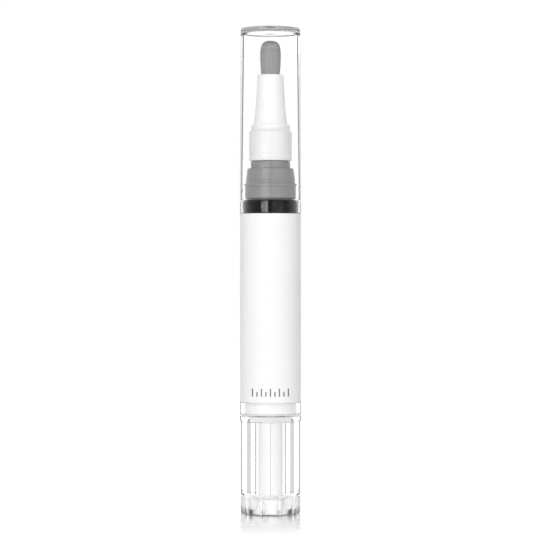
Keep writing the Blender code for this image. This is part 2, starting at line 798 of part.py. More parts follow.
def knob(cutters):
    """The clear knob: a thick wall round a blind bore, a flange, a hexagonal pocket and ten flutes."""
    flange_foot = KNOB_HEIGHT - KNOB_FLANGE_HEIGHT
    body = turned(
        "knob",
        [
            (0, KNOB_FLOOR),
            (knob_bore_radius, KNOB_FLOOR),
            (knob_bore_radius, KNOB_HEIGHT),
            (knob_flange_radius, KNOB_HEIGHT, KNOB_RIM_FILLET),
            (knob_flange_radius, flange_foot, KNOB_FLANGE_FILLET),
            (knob_radius, flange_foot),
            (knob_radius, 0, KNOB_BASE_FILLET),
            (KNOB_DISH_RADIUS, 0),
            (KNOB_DISH_RADIUS - KNOB_DISH_DEPTH, KNOB_DISH_DEPTH),
            (0, KNOB_DISH_DEPTH),
        ],
        OUTER_STEPS,
        closed=False,
    )
    pocket = prism(
        "knob_pocket",
        sleeve_hex_radius + FIT_GAP,
        SLEEVE_HEX_HEIGHT + SEAT_GAP + SEAT_GAP + CUT_OVERRUN,
        SLEEVE_HEX_SIDES,
        sleeve_hex_foot - SEAT_GAP,
    )
    shape_by(body, "DIFFERENCE", pocket, cutters)
    for index in range(FLUTE_COUNT):
        tool, distance = flute_cutter(f"flute_{index + 1:02d}")
        angle = math.tau * index / FLUTE_COUNT - math.pi / 2
        tool.location = (distance * math.cos(angle), distance * math.sin(angle), 0)
        shape_by(body, "DIFFERENCE", tool, cutters)
    return body


def drive_sleeve(cutters):
    """The core in the knob: a flatted bore for the screw, a hexagon in the knob, a split snap lip on top."""
    top = sleeve_top - sleeve_foot
    lip_foot = sleeve_lip_foot - sleeve_foot
    lip_top = lip_foot + SLEEVE_LIP_HEIGHT
    shoulder_top = click_wheel_foot - SEAT_GAP - sleeve_foot
    hex_foot = sleeve_hex_foot - sleeve_foot
    body = turned(
        "drive_sleeve",
        [
            (0, top),
            (SLEEVE_RADIUS - SLEEVE_NOSE_STEP, top),
            (sleeve_lip_radius, lip_top),
            (sleeve_lip_radius, lip_foot),
            (SLEEVE_RADIUS, lip_foot),
            (SLEEVE_RADIUS, shoulder_top),
            (sleeve_shoulder_radius, shoulder_top),
            (sleeve_shoulder_radius, hex_foot),
            (SLEEVE_RADIUS, hex_foot),
            (SLEEVE_RADIUS, 0),
            (0, 0),
        ],
        INNER_STEPS,
        closed=False,
    )
    hexagon = prism("sleeve_hexagon", sleeve_hex_radius, SLEEVE_HEX_HEIGHT, SLEEVE_HEX_SIDES, hex_foot)
    shape_by(body, "UNION", hexagon, cutters)
    bore_length = top + CUT_OVERRUN + CUT_OVERRUN
    bore = prism("sleeve_bore", sleeve_bore, bore_length, INNER_STEPS, -CUT_OVERRUN, sleeve_bore_flat)
    shape_by(body, "DIFFERENCE", bore, cutters)
    slot_foot = nut_foot + nut_skirt_depth - sleeve_foot
    slot_height = top + CUT_OVERRUN - slot_foot
    slot_length = (sleeve_lip_radius + CUT_OVERRUN) * 2
    slot_size = (SLEEVE_SLOT_WIDTH, slot_length, slot_height)
    slot = block("sleeve_slot", slot_size, (0, 0, slot_foot + slot_height / 2))
    shape_by(body, "DIFFERENCE", slot, cutters)
    flat_depth = sleeve_lip_radius - sleeve_flat
    flat_height = SEAT_GAP + click_wheel_height + SEAT_GAP
    for name, side in (("sleeve_flat_front", -1), ("sleeve_flat_back", 1)):
        centre = (0, side * (sleeve_flat + flat_depth / 2), shoulder_top + flat_height / 2)
        flat = block(name, (sleeve_lip_radius * 2, flat_depth, flat_height), centre)
        shape_by(body, "DIFFERENCE", flat, cutters)
    return body


def click_wheel():
    """A hub with springy arms whose noses ride over the ratchet's teeth; its bore has the sleeve's flats."""
    space = click_tip_radius - click_hub_radius
    arm = space * CLICK_ARM_SHARE
    slot = space * CLICK_SLOT_SHARE
    drift = space - slot - arm
    outline = []
    for index in range(CLICK_ARMS):
        root = -math.tau * index / CLICK_ARMS
        outline.append((click_hub_radius, root))
        for step in range(CLICK_ARM_STEPS + 1):
            share = step / CLICK_ARM_STEPS
            outline.append((click_hub_radius + slot + drift * share + arm, root - CLICK_ARM_SWEEP * share))
        for step in range(CLICK_ARM_STEPS + 1):
            share = 1 - (1 - CLICK_SLOT_START_SHARE) * step / CLICK_ARM_STEPS
            outline.append((click_hub_radius + slot + drift * share, root - CLICK_ARM_SWEEP * share))
        slot_start = CLICK_ARM_SWEEP * CLICK_SLOT_START_SHARE
        rest_of_hub = math.tau / CLICK_ARMS - slot_start
        for step in range(CLICK_ARM_STEPS):
            share = step / CLICK_ARM_STEPS
            outline.append((click_hub_radius, root - slot_start - rest_of_hub * share))
    return plate("click_wheel", [outline, flatted_circle()], click_wheel_height)


def flatted_circle():
    """The wheel's bore: a circle with the drive sleeve's two flats."""
    radius = SLEEVE_RADIUS + FIT_GAP
    flat = sleeve_flat + FIT_GAP
    points = []
    for step in range(INNER_STEPS):
        angle = math.tau * step / INNER_STEPS
        across = radius * math.cos(angle)
        up = max(-flat, min(flat, radius * math.sin(angle)))
        points.append((math.hypot(across, up), math.atan2(up, across)))
    return points


def ratchet_ring():
    """A ring of saw teeth: each ramps inwards, then drops back, so the wheel passes one way only."""
    pitch = math.tau / RATCHET_TEETH
    teeth = []
    for tooth in range(RATCHET_TEETH):
        teeth.append((ratchet_root_radius, pitch * tooth))
        teeth.append((ratchet_tip_radius, pitch * (tooth + RATCHET_RAMP_SHARE)))
    return plate("ratchet_ring", [circle(ratchet_radius, INNER_STEPS), teeth], RATCHET_HEIGHT)


def screw_nut():
    """The fixed carrier: a skirt round the ratchet, a bearing floor, a chamber for the lip, the thread."""
    nose = nut_height - NUT_NOSE_HEIGHT
    waist_foot = nut_floor_top
    waist_top = nut_thread_foot
    return turned(
        "screw_nut",
        [
            (nut_radius - NUT_NOSE_STEP, nut_height),
            (nut_radius, nose),
            (nut_radius, waist_top),
            (nut_radius - NUT_WAIST_DEPTH, waist_top),
            (nut_radius - NUT_WAIST_DEPTH, waist_foot),
            (nut_radius, waist_foot),
            (nut_radius, NUT_CHAMFER),
            (nut_radius - NUT_CHAMFER, 0),
            (nut_skirt_bore, 0),
            (nut_skirt_bore, nut_skirt_depth),
            (nut_bearing_bore, nut_skirt_depth),
            (nut_bearing_bore, nut_floor_top),
            (nut_chamber_radius, nut_floor_top),
            (nut_chamber_radius, nut_thread_foot),
            (nut_thread_bore, nut_thread_foot),
            (nut_thread_bore, nut_height),
        ],
        INNER_STEPS,
    )


def lead_screw(cutters):
    """The rod: two flats along it, a flange that rests on the nut and a snap head for the piston."""
    neck_foot = SCREW_FLANGE_HEIGHT
    head_foot = neck_foot + SCREW_NECK_HEIGHT
    head_top = head_foot + SCREW_HEAD_HEIGHT
    body = turned(
        "lead_screw",
        [
            (0, head_top),
            (SCREW_HEAD_RADIUS - SCREW_HEAD_CHAMFER, head_top),
            (SCREW_HEAD_RADIUS, head_top - SCREW_HEAD_CHAMFER),
            (SCREW_HEAD_RADIUS, head_foot),
            (SCREW_NECK_RADIUS, head_foot),
            (SCREW_NECK_RADIUS, neck_foot),
            (SCREW_FLANGE_RADIUS, neck_foot),
            (SCREW_FLANGE_RADIUS, 0),
            (0, 0),
        ],
        INNER_STEPS,
        closed=False,
    )
    length = screw_flange_foot - screw_foot
    rod = prism("screw_rod", SCREW_RADIUS, length + UNION_OVERLAP, INNER_STEPS, -length, screw_flat)
    shape_by(body, "UNION", rod, cutters)
    return body


def piston():
    """The piston: two sealing lips, a hollow skirt and a socket that snaps over the screw's head."""
    crown = PISTON_HEIGHT
    upper_lip_top = crown - PISTON_CROWN_HEIGHT
    upper_lip_foot = upper_lip_top - PISTON_LIP_HEIGHT
    lower_lip_foot = 0
    lower_lip_top = PISTON_LIP_HEIGHT
    socket_foot = PISTON_SOCKET_LIP_HEIGHT
    socket_roof = screw_head_foot + SCREW_HEAD_HEIGHT + SEAT_GAP - piston_foot
    skirt_bore_radius = piston_waist_radius - PISTON_SKIRT_WALL
    return turned(
        "piston",
        [
            (0, crown),
            (piston_waist_radius - PISTON_CROWN_STEP, crown),
            (piston_waist_radius, upper_lip_top),
            (piston_lip_radius, upper_lip_top),
            (piston_lip_radius, upper_lip_foot),
            (piston_waist_radius, upper_lip_foot - PISTON_LIP_FLANK),
            (piston_waist_radius, lower_lip_top + PISTON_LIP_FLANK),
            (piston_lip_radius, lower_lip_top),
            (piston_lip_radius, lower_lip_foot),
            (skirt_bore_radius, 0),
            (skirt_bore_radius, PISTON_POCKET_DEPTH),
            (piston_hub_radius, PISTON_POCKET_DEPTH),
            (piston_hub_radius, 0),
            (piston_socket_lip_radius, 0),
            (piston_socket_lip_radius, socket_foot),
            (piston_socket_radius, socket_foot),
            (piston_socket_radius, socket_roof),
            (0, socket_roof),
        ],
        INNER_STEPS,
        closed=False,
    )


def main():
    clear_scene()
    pen = collection(PRODUCT)
    cutters = collection("cutters")

    clear = plastic("clear_acrylic", (0.97, 0.98, 0.98), 0.03, transmission=1.0)
    white_wrap = plastic("white_wrap", (0.93, 0.93, 0.93), 0.35)
    white_plastic = plastic("white_plastic", (0.92, 0.92, 0.92), 0.3)
    grey_plastic = plastic("grey_plastic", (0.30, 0.30, 0.30), 0.35)
    black_rubber = plastic("black_rubber", (0.03, 0.03, 0.03), 0.4)
    natural_plastic = plastic("natural_plastic", (0.86, 0.87, 0.86), 0.4)
    grey_nylon = plastic("grey_nylon", (0.31, 0.31, 0.31), 0.5)

    barrel_axis = axis_marker("barrel_axis", barrel_foot, pen)
    knob_axis = axis_marker("knob_axis", knob_top, pen, barrel_axis)
    screw_axis = axis_marker("screw_axis", screw_flange_foot, pen, knob_axis)
    piston_axis = axis_marker("piston_axis", piston_foot, pen, barrel_axis)
    cap_axis = axis_marker("cap_axis", cap_foot, pen, barrel_axis)

    label_foot = barrel_foot + LABEL_FOOT_MARGIN + FIT_GAP
    holder_foot = root_top - TUFT_ROOT_THICKNESS - SEAT_GAP - BRUSH_HOLDER_LENGTH
    tube_holder_foot = neck_foot - NECK_ROOF_DEPTH - SEAT_GAP - TUBE_HOLDER_FLANGE_HEIGHT
    tube_foot = tube_holder_foot - TUBE_TAIL
    tube_length = holder_foot + BRUSH_HOLDER_LENGTH - tube_foot

    pieces = [
        (barrel(), clear, barrel_axis, barrel_foot),
        (label_sleeve(), white_wrap, barrel_axis, label_foot),
        (seal_ring(), black_rubber, barrel_axis, seal_foot),
        (neck(), grey_plastic, barrel_axis, neck_foot),
        (applicator(), white_plastic, barrel_axis, skirt_foot),
        (bristles(cutters), grey_nylon, barrel_axis, tuft_exit),
        (brush_holder(), natural_plastic, barrel_axis, holder_foot),
        (feed_tube(tube_length), natural_plastic, barrel_axis, tube_foot),
        (tube_holder(), natural_plastic, barrel_axis, tube_holder_foot),
        (screw_nut(), white_plastic, barrel_axis, nut_foot),
        (ratchet_ring(), white_plastic, barrel_axis, ratchet_foot + RATCHET_HEIGHT / 2),
        (knob(cutters), clear, knob_axis, 0),
        (drive_sleeve(cutters), white_plastic, knob_axis, sleeve_foot),
        (click_wheel(), natural_plastic, knob_axis, click_wheel_foot + click_wheel_height / 2),
        (lead_screw(cutters), white_plastic, screw_axis, screw_flange_foot),
        (piston(), natural_plastic, piston_axis, piston_foot),
        (cap(), clear, cap_axis, cap_foot),
    ]
    for body, material, axis, height in pieces:
        finished(body, material, axis, height, pen)


main()
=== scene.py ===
"""The looks of a twist-up nail polish pen: smooth plastics, clear acrylic, a soft tuft and a white studio.

Each CAD node is replaced by a smoother piece on the same body. Where its shape differs from the node's, the
headings of the values say how. Lengths are in metres, and heights are counted from the table.
"""

import math
import random

import bmesh
import bpy
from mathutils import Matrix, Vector


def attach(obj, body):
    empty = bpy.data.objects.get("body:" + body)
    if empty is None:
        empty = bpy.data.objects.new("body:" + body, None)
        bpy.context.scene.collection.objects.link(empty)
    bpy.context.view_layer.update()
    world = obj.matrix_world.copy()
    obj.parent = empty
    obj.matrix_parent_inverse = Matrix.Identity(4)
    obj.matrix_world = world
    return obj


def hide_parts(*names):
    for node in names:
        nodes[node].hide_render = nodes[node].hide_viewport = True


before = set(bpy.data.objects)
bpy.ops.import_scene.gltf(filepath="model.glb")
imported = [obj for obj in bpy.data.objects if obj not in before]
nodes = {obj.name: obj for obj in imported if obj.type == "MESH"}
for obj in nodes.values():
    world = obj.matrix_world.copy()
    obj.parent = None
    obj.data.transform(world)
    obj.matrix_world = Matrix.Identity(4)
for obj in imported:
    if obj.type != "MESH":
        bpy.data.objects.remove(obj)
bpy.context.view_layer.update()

# Meshes
ON_PLANE = 0.000001
SAME_PLACE = 0.0000001
DECIMALS = 7
SHARP_EDGE = math.radians(32)
FLAT_ENOUGH = math.radians(0.5)
NORMALS_WEIGHT = 100

# Turned pieces: steps round the axis, and how far back each corner is softened, at most by a share of an edge
TURN_STEPS = 180
CORNER_SETBACK = 0.00009
CORNER_LIMIT = 0.45
CORNER_STEPS = 3
FILLET_STEPS = 6
SMALL_FILLET_STEPS = 4

# The nut's foot, drawn lower than in the CAD: how much of it moves down, and how far
FOOT_EDGE = 0.00045
NUT_DROP = 0.0006

# Sorting faces by place: limits for how far a normal points along the axis, and away from it
DOWNWARD = -0.95
LEVEL = 0.8
SLOPING = 0.3
INWARD = -0.2

# Knob, as in the CAD but for a wider and deeper well in its base
KNOB_RADIUS = 0.00835
KNOB_HEIGHT = 0.0276
KNOB_BORE_RADIUS = 0.00423
KNOB_FLOOR = 0.0042
KNOB_FLANGE_RADIUS = 0.00865
KNOB_FLANGE_HEIGHT = 0.0017
KNOB_FLANGE_FILLET = 0.0006
KNOB_RIM_FILLET = 0.00015
KNOB_BASE_FILLET = 0.0003
KNOB_WELL_RADIUS = 0.0055
KNOB_WELL_DEPTH = 0.0015
KNOB_WELL_CHAMFER = 0.0002
KNOB_POCKET_DEPTH = 0.0016
KNOB_POCKET_RADIUS = 0.0056
FLUTE_COUNT = 10
FLUTE_LAND = 0.0004
FLUTE_CUTTER_RADIUS = 0.0060
FLUTE_HEIGHT = 0.0060
FLUTE_CROWN = 0.0011
FLUTE_STEPS = 96
FLUTE_CROWN_STEPS = 14
CUT_OVERRUN = 0.001

# Knob's zones, for sorting its faces by height and by distance from the axis
WELL_BELOW = KNOB_WELL_DEPTH * 1.1
BORE_ABOVE = KNOB_FLOOR * 0.9
BORE_LEVEL_BELOW = 0.0058
BORE_WITHIN = KNOB_RADIUS * 0.8
FLUTES_WITHIN = KNOB_RADIUS - 0.00002
CROWNS_ABOVE = FLUTE_HEIGHT - FLUTE_CROWN

# Cap, as in the CAD but for a lower snap bead, a tighter corner, a lower ceiling and a softer gate dimple
CAP_FOOT = 0.0882
CAP_TOP = 0.1366
CAP_CEILING = 0.13525
CAP_FOOT_RADIUS = 0.0086
CAP_HEAD_RADIUS = 0.00838
CAP_FOOT_BORE = 0.00802
CAP_HEAD_BORE = 0.0075
CAP_CORNER_FILLET = 0.00016
CAP_CEILING_FILLET = 0.0008
CAP_BEAD_CREST = 0.0913
CAP_BEAD_DEPTH = 0.00007
CAP_BEAD_FLAT = 0.0002
CAP_BEAD_FLANK = 0.0007
GATE_RADIUS = 0.0021
GATE_DEPTH = 0.00032
GATE_NUB_RADIUS = 0.0005
GATE_NUB_HEIGHT = 0.00012
GATE_STEPS = 8
GATE_SHADE_RADIUS = 0.0024

# Cap's zones, for sorting its faces by height
CAP_TOP_ABOVE = CAP_TOP - 0.001
CAP_CEILING_ABOVE = CAP_TOP - 0.002

# Tuft, of more and finer strands than in the CAD: (height above the cone's exit, radius), from foot to tip
TUFT_EXIT = 0.1236
TUFT_SHAPE = [
    (-0.0012, 0.00236),
    (0.0000, 0.00264),
    (0.0018, 0.00278),
    (0.0040, 0.00292),
    (0.0062, 0.00294),
    (0.0074, 0.00286),
    (0.0082, 0.00270),
    (0.0088, 0.00242),
    (0.0092, 0.00190),
    (0.0095, 0.00110),
    (0.0096, 0.00000),
]
TUFT_SPANS = list(zip(TUFT_SHAPE, TUFT_SHAPE[1:]))
TUFT_FOOT = TUFT_SHAPE[0][0]
TUFT_WIDEST = 0.00294
TUFT_WIDEST_HEIGHT = 0.0062

# Tuft's strands: each stands a golden share of half a turn on from the last, and is a little uneven
STRANDS = 1100
GOLDEN_SHARE = 3 - math.sqrt(5)
STRAND_RADIUS = 0.000072
STRAND_TAPER = 0.35
STRAND_SIDES = 4
STRAND_LEVELS = 7
STRANDS_CLOSING = 0.035
STRAND_OUTERMOST = 0.985
STRAND_UNEVEN = (-0.00006, 0.00003)
STRAND_LEAN = 0.012
STRAND_SEED = 7

# Tuft's core
CORE_GAP = 0.00012
CORE_SETBACK = 0.0006
CORE_STEPS = 60

# Noise: the span that its values mostly fill, and scales per metre
NOISE_LOW = 0.3
NOISE_HIGH = 0.7
MOTTLE_SCALE = 160
GLOSS_SCALE = 420
GRAIN_SCALE = 900
GRAIN_DEPTH = 0.000004

# Moulded plastic: half the width of the thin dark line painted down the front and the back, a painted dark
# reflection
GAP_REFLECTION_HALF_WIDTH = 0.0001

# Milky plastic: greys of the cone and of the skirt, whose darker grey is painted shade, and the heights
# between which they blend
CONE_GREYS = (0.93, 0.95)
SKIRT_SHADE_GREY = 0.85
SKIRT_TOP = 0.1080
CONE_FOOT = 0.1094
MILKY_ROUGHNESS = (0.34, 0.42)
MILKY_GLOSS = 0.25
MILKY_SHEEN = 1.0
MILKY_SHEEN_ROUGHNESS = 0.35

# Clear plastic
CLEAR_IOR = 1.57
CROWN_IOR = 1.05
CLEAR_GLOSS = 0.02
CLEAR_ROUGHNESS = (0.0, 0.004)
CLEAR_GLOSS_SCALE = 300
CLEAR_WAVE_SCALE = 120
CLEAR_WAVE_STRETCH = (1, 1, 0.4)
CLEAR_WAVE_DEPTH = 0.000002
CLEAR_SHADOW = 0.995

# How far edge-on the clear plastic's thin line starts, is full, starts to fade and ends
CRITICAL_LINE = (0.219, 0.230, 0.243, 0.253)

# Darkening of the clear plastic that several looks share, and limits that darken it from any angle
CAP_FROM_AIR = (0.66, 0.90, 0.80)
LID_FROM_WITHIN = (0.60, 0.85, 0.90)
ANY_ANGLE = (-0.20, -0.10)

# Painted shade on the knob's base, for the shadow where it meets the floor: where it starts and is full,
# where it eases off towards the rim, how much is left there, and its greys
FOOT_SHADE_START = 0.0050
FOOT_SHADE_FULL = 0.0060
RIM_EASING_START = 0.0064
RIM_EASING_FULL = 0.0078
RIM_SHADE_LEFT = 0.55
FOOT_SHADE_GREY = 0.25
FOOT_SHADE_EDGE_GREY = 0.30

# Wrap: a row of ticks in front, every second one longer, and a lap seam at the back
TICK_PITCH = 0.00125
TICK_HALF_WIDTH = 0.00017
TICKS_EACH_SIDE = 4
TICK_FOOT = 0.0333
TICK_TOP = 0.0346
TICK_EXTRA = 0.0009
TICK_GREY = 0.16
SEAM_HALF_WIDTH = 0.00006
SEAM_STRENGTH = 0.35
SEAM_GREY = 0.55
WRAP_GREYS = (0.925, 0.945)
WRAP_GRAIN_SCALE = 700
WRAP_GRAIN_DEPTH = 0.000003
WRAP_GLOSS_SCALE = 500
WRAP_ROUGHNESS = (0.42, 0.52)
WRAP_GLOSS = 0.08

# Nylon
NYLON_GREYS = (0.35, 0.42)
STREAK_SCALE = 5200
STREAK_STRETCH = (1, 1, 0.03)
NYLON_GLOSS_SCALE = 3000
NYLON_ROUGHNESS = (0.4, 0.6)
NYLON_GLOSS = 0.05

# Camera
CAMERA_PLACE = (0.00141, -0.6484, 0.06704)
CAMERA_PIXELS = 551
CAMERA_FOCAL_PIXELS = 2300
SENSOR_WIDTH = 36
CLIP_START = 0.01
CLIP_END = 50

# Floor: its gloss is full out to one distance from the pen and gone at another, where it glows plain white
FLOOR_DROP = 0.00005
FLOOR_SIZE = 6
FLOOR_GREY = 0.86
FLOOR_GLOSS = 0.95
FLOOR_GLOSS_FULL = 0.010
FLOOR_GLOSS_END = 0.068
FLOOR_GLOSS_ROUGHNESS = 0.2
FLOOR_GLOW = 0.58
FLOOR_GLOW_POWER = 1.8

# Light
SKY_LEVEL = 0.49
LAMP_TARGET = (0, 0, 0.07)

# Lamps: name, azimuth in degrees from the camera's side to the right, distance, height, size and radiance
SOFTBOXES = [
    ("softbox_left", -23, 0.75, 0.11, (0.33, 0.10), 16),
    ("softbox_top", -23, 0.8, 0.62, (0.26, 0.10), 9),
    ("softbox_back", 172, 1.1, 0.55, (0.8, 0.6), 1.1),
    ("softbox_right", 28, 0.75, 0.10, (0.62, 0.52), 1.75),
]


# Outlines of the turned CAD nodes
def section_edges(mesh):
    """The corners (radius, height) of a turned mesh that lie in the XZ plane, and the edges between them."""
    found = {}
    for vertex in mesh.vertices:
        if abs(vertex.co.y) < ON_PLANE and vertex.co.x > -ON_PLANE:
            found[vertex.index] = (round(max(vertex.co.x, 0), DECIMALS), round(vertex.co.z, DECIMALS))
    edges = set()
    for edge in mesh.edges:
        first, second = edge.vertices
        if first in found and second in found and found[first] != found[second]:
            edges.add(tuple(sorted((found[first], found[second]))))
    return edges


def chains(edges):
    """The edges joined end to end, as lists of corners."""
    links = {}
    for first, second in edges:
        links.setdefault(first, []).append(second)
        links.setdefault(second, []).append(first)
    left = set(links)
    found = []
    starts = sorted(corner for corner in links if len(links[corner]) == 1) or sorted(links)
    for start in starts:
        if start not in left:
            continue
        chain = [start]
        left.discard(start)
        while True:
            onward = [corner for corner in links[chain[-1]] if corner in left]
            if not onward:
                break
            chain.append(onward[0])
            left.discard(onward[0])
        found.append(chain)
    return found


def gap(corner, end):
    """The way across a flat face from one corner to another, which is endless if they aren't level."""
    return abs(corner[0] - end[0]) if corner[1] == end[1] else math.inf


def outline(node):
    """The whole outline of a turned CAD node, and whether it is closed.

    It is made of chains, joined across the flat faces that hold no edge.
    """
    parts = chains(section_edges(nodes[node].data))
    parts.sort(key=lambda chain: min(corner[0] for corner in chain))
    line = parts.pop(0)
    while parts:
        if all(gap(corner, line[-1]) == math.inf for part in parts for corner in (part[0], part[-1])):
            line.reverse()
        end = line[-1]
        part = min(parts, key=lambda chain: min(gap(chain[0], end), gap(chain[-1], end)))
        parts.remove(part)
        if gap(part[-1], end) < gap(part[0], end):
            part.reverse()
        line += part
    closed = line[0][1] == line[-1][1] and min(line[0][0], line[-1][0]) > ON_PLANE
    if not closed:
        line = [(0, line[0][1]), *line, (0, line[-1][1])]
    return line, closed


def softened(line, closed, setback=CORNER_SETBACK):
    """The outline with each corner cut back a little and drawn as a short curve."""
    points = []
    count = len(line)
    for index, corner in enumerate(line):
        here = Vector(corner)
        if not closed and index in (0, count - 1):
            points.append(here)
            continue
        before = Vector(line[index - 1]) - here
        after = Vector(line[(index + 1) % count]) - here
        start = here + before.normalized() * min(setback, before.length * CORNER_LIMIT)
        end = here + after.normalized() * min(setback, after.length * CORNER_LIMIT)
        for step in range(CORNER_STEPS + 1):
            share = step / CORNER_STEPS
            first = start.lerp(here, share)
            second = here.lerp(end, share)
            points.append(first.lerp(second, share))
    return points


def arc(points, centre, radius, start, end, steps):
    """Adds an arc of a circle to an outline, between two angles in degrees."""
    for step in range(steps + 1):
        angle = math.radians(start + (end - start) * step / steps)
        points.append((centre[0] + radius * math.cos(angle), centre[1] + radius * math.sin(angle)))


# Pieces
def linked(name, mesh):
    """A new object in the scene from a bmesh."""
    data = bpy.data.meshes.new(name)
    mesh.to_mesh(data)
    mesh.free()
    piece = bpy.data.objects.new(name, data)
    bpy.context.scene.collection.objects.link(piece)
    return piece


def mesh_piece(name, mesh):
    """A new piece from a bmesh, its normals outward and its faces smooth."""
    bmesh.ops.recalc_face_normals(mesh, faces=mesh.faces[:])
    for face in mesh.faces:
        face.smooth = True
    return linked(name, mesh)


def weighted(piece, keep_sharp=False):
    """Large faces keep their own direction, so that only the small curves between them look round."""
    modifier = piece.modifiers.new("normals", "WEIGHTED_NORMAL")
    modifier.mode = "FACE_AREA"
    modifier.weight = NORMALS_WEIGHT
    modifier.keep_sharp = keep_sharp


def sharpened(piece):
    """Marks the edges where the surface really turns, and smooths the rest."""
    mesh = bmesh.new()
    mesh.from_mesh(piece.data)
    for edge in mesh.edges:
        edge.smooth = edge.calc_face_angle(0) < SHARP_EDGE
    for face in mesh.faces:
        face.smooth = True
    mesh.to_mesh(piece.data)
    mesh.free()


def turned(name, points, closed, steps=TURN_STEPS):
    """A body turned about the pen's axis from an outline of (radius, height)."""
    mesh = bmesh.new()
    rings = []
    for radius, height in points:
        if radius < ON_PLANE:
            rings.append([mesh.verts.new((0, 0, height))] * steps)
            continue
        ring = []
        for step in range(steps):
            angle = math.tau * (step + 0.5) / steps
            ring.append(mesh.verts.new((radius * math.cos(angle), radius * math.sin(angle), height)))
        rings.append(ring)
    pairs = list(zip(rings, rings[1:]))
    if closed:
        pairs.append((rings[-1], rings[0]))
    for low, high in pairs:
        for step in range(steps):
            onward = (step + 1) % steps
            corners = []
            for vertex in (low[step], low[onward], high[onward], high[step]):
                if vertex not in corners:
                    corners.append(vertex)
            if len(corners) > 2:
                mesh.faces.new(corners)
    return mesh_piece(name, mesh)


def smooth_copy(node, drop=0):
    """A finely turned copy of a turned CAD node, its corners softened and its foot drawn lower by drop."""
    line, closed = outline(node)
    foot = min(height for _, height in line)
    line = [(radius, height - drop if height < foot + FOOT_EDGE else height) for radius, height in line]
    piece = turned(node + "_smooth", softened(line, closed), closed)
    weighted(piece)
    return piece


def shaded_copy(node):
    """A copy of a CAD node whose round faces are shaded smooth."""
    mesh = bmesh.new()
    mesh.from_mesh(nodes[node].data)
    bmesh.ops.remove_doubles(mesh, verts=mesh.verts[:], dist=SAME_PLACE)
    bmesh.ops.dissolve_limit(
        mesh,
        angle_limit=FLAT_ENOUGH,
        use_dissolve_boundaries=False,
        verts=mesh.verts[:],
        edges=mesh.edges[:],
    )
    piece = mesh_piece(node + "_smooth", mesh)
    sharpened(piece)
    weighted(piece, keep_sharp=True)
    return piece


def clear_cap():
    """The clear cap, from the gate's nub over the top, down the side, across the foot and up the bore."""
    nub_top = CAP_TOP - GATE_DEPTH + GATE_NUB_HEIGHT
    points = [(0, nub_top), (GATE_NUB_RADIUS, nub_top)]
    for step in range(GATE_STEPS + 1):
        radius = GATE_NUB_RADIUS + (GATE_RADIUS - GATE_NUB_RADIUS) * step / GATE_STEPS
        points.append((radius, CAP_TOP - GATE_DEPTH * (1 - (radius / GATE_RADIUS) ** 2)))
    corner = CAP_CORNER_FILLET
    arc(points, (CAP_HEAD_RADIUS - corner, CAP_TOP - corner), corner, 90, 0, SMALL_FILLET_STEPS)
    side_top = points[-1][1]
    share = (side_top - CAP_CEILING) / (side_top - CAP_FOOT)
    bead_low = CAP_BEAD_CREST - CAP_BEAD_FLAT
    bead_high = CAP_BEAD_CREST + CAP_BEAD_FLAT
    points += [
        (CAP_HEAD_RADIUS + (CAP_FOOT_RADIUS - CAP_HEAD_RADIUS) * share, CAP_CEILING),
        (CAP_FOOT_RADIUS, CAP_FOOT),
        (CAP_FOOT_BORE, CAP_FOOT),
        (CAP_FOOT_BORE, bead_low - CAP_BEAD_FLANK),
        (CAP_FOOT_BORE - CAP_BEAD_DEPTH, bead_low),
        (CAP_FOOT_BORE - CAP_BEAD_DEPTH, bead_high),
        (CAP_FOOT_BORE, bead_high + CAP_BEAD_FLANK),
    ]
    inner = CAP_CEILING_FILLET
    arc(points, (CAP_HEAD_BORE - inner, CAP_CEILING - inner), inner, 0, 90, FILLET_STEPS)
    points += [(GATE_SHADE_RADIUS, CAP_CEILING), (0, CAP_CEILING)]
    piece = turned("cap_clear", softened(points, False), False)
    weighted(piece)
    return piece


def knob_outline():
    """From the bore's floor up the bore, over rim and flange, down the side and in across the base."""
    flange_foot = KNOB_HEIGHT - KNOB_FLANGE_HEIGHT
    rim = KNOB_RIM_FILLET
    fillet = KNOB_FLANGE_FILLET
    base = KNOB_BASE_FILLET
    step = KNOB_FLANGE_RADIUS - KNOB_RADIUS
    reach = math.degrees(math.acos(1 - step / fillet))
    points = [
        (0, KNOB_FLOOR),
        (KNOB_BORE_RADIUS, KNOB_FLOOR),
        (KNOB_BORE_RADIUS, BORE_LEVEL_BELOW),
        (KNOB_BORE_RADIUS, KNOB_HEIGHT),
    ]
    arc(points, (KNOB_FLANGE_RADIUS - rim, KNOB_HEIGHT - rim), rim, 90, 0, SMALL_FILLET_STEPS)
    arc(points, (KNOB_FLANGE_RADIUS - fillet, flange_foot + fillet), fillet, 0, -reach, FILLET_STEPS)
    foot = flange_foot + fillet - fillet * math.sin(math.radians(reach))
    points[-1] = (KNOB_RADIUS, foot)
    arc(points, (KNOB_RADIUS - base, base), base, 0, -90, FILLET_STEPS)
    points += [
        (KNOB_WELL_RADIUS + KNOB_WELL_CHAMFER, 0),
        (KNOB_WELL_RADIUS, KNOB_WELL_CHAMFER),
        (KNOB_WELL_RADIUS, KNOB_WELL_DEPTH),
        (0, KNOB_WELL_DEPTH),
    ]
    return points


def pocket_cutter():
    """The tool for the hexagonal pocket in the knob's rim."""
    mesh = bmesh.new()
    bmesh.ops.create_cone(
        mesh,
        cap_ends=True,
        segments=6,
        radius1=KNOB_POCKET_RADIUS,
        radius2=KNOB_POCKET_RADIUS,
        depth=KNOB_POCKET_DEPTH + CUT_OVERRUN,
    )
    middle = KNOB_HEIGHT - KNOB_POCKET_DEPTH + (KNOB_POCKET_DEPTH + CUT_OVERRUN) / 2
    bmesh.ops.translate(mesh, vec=(0, 0, middle), verts=mesh.verts)
    return mesh_piece("knob_pocket", mesh)


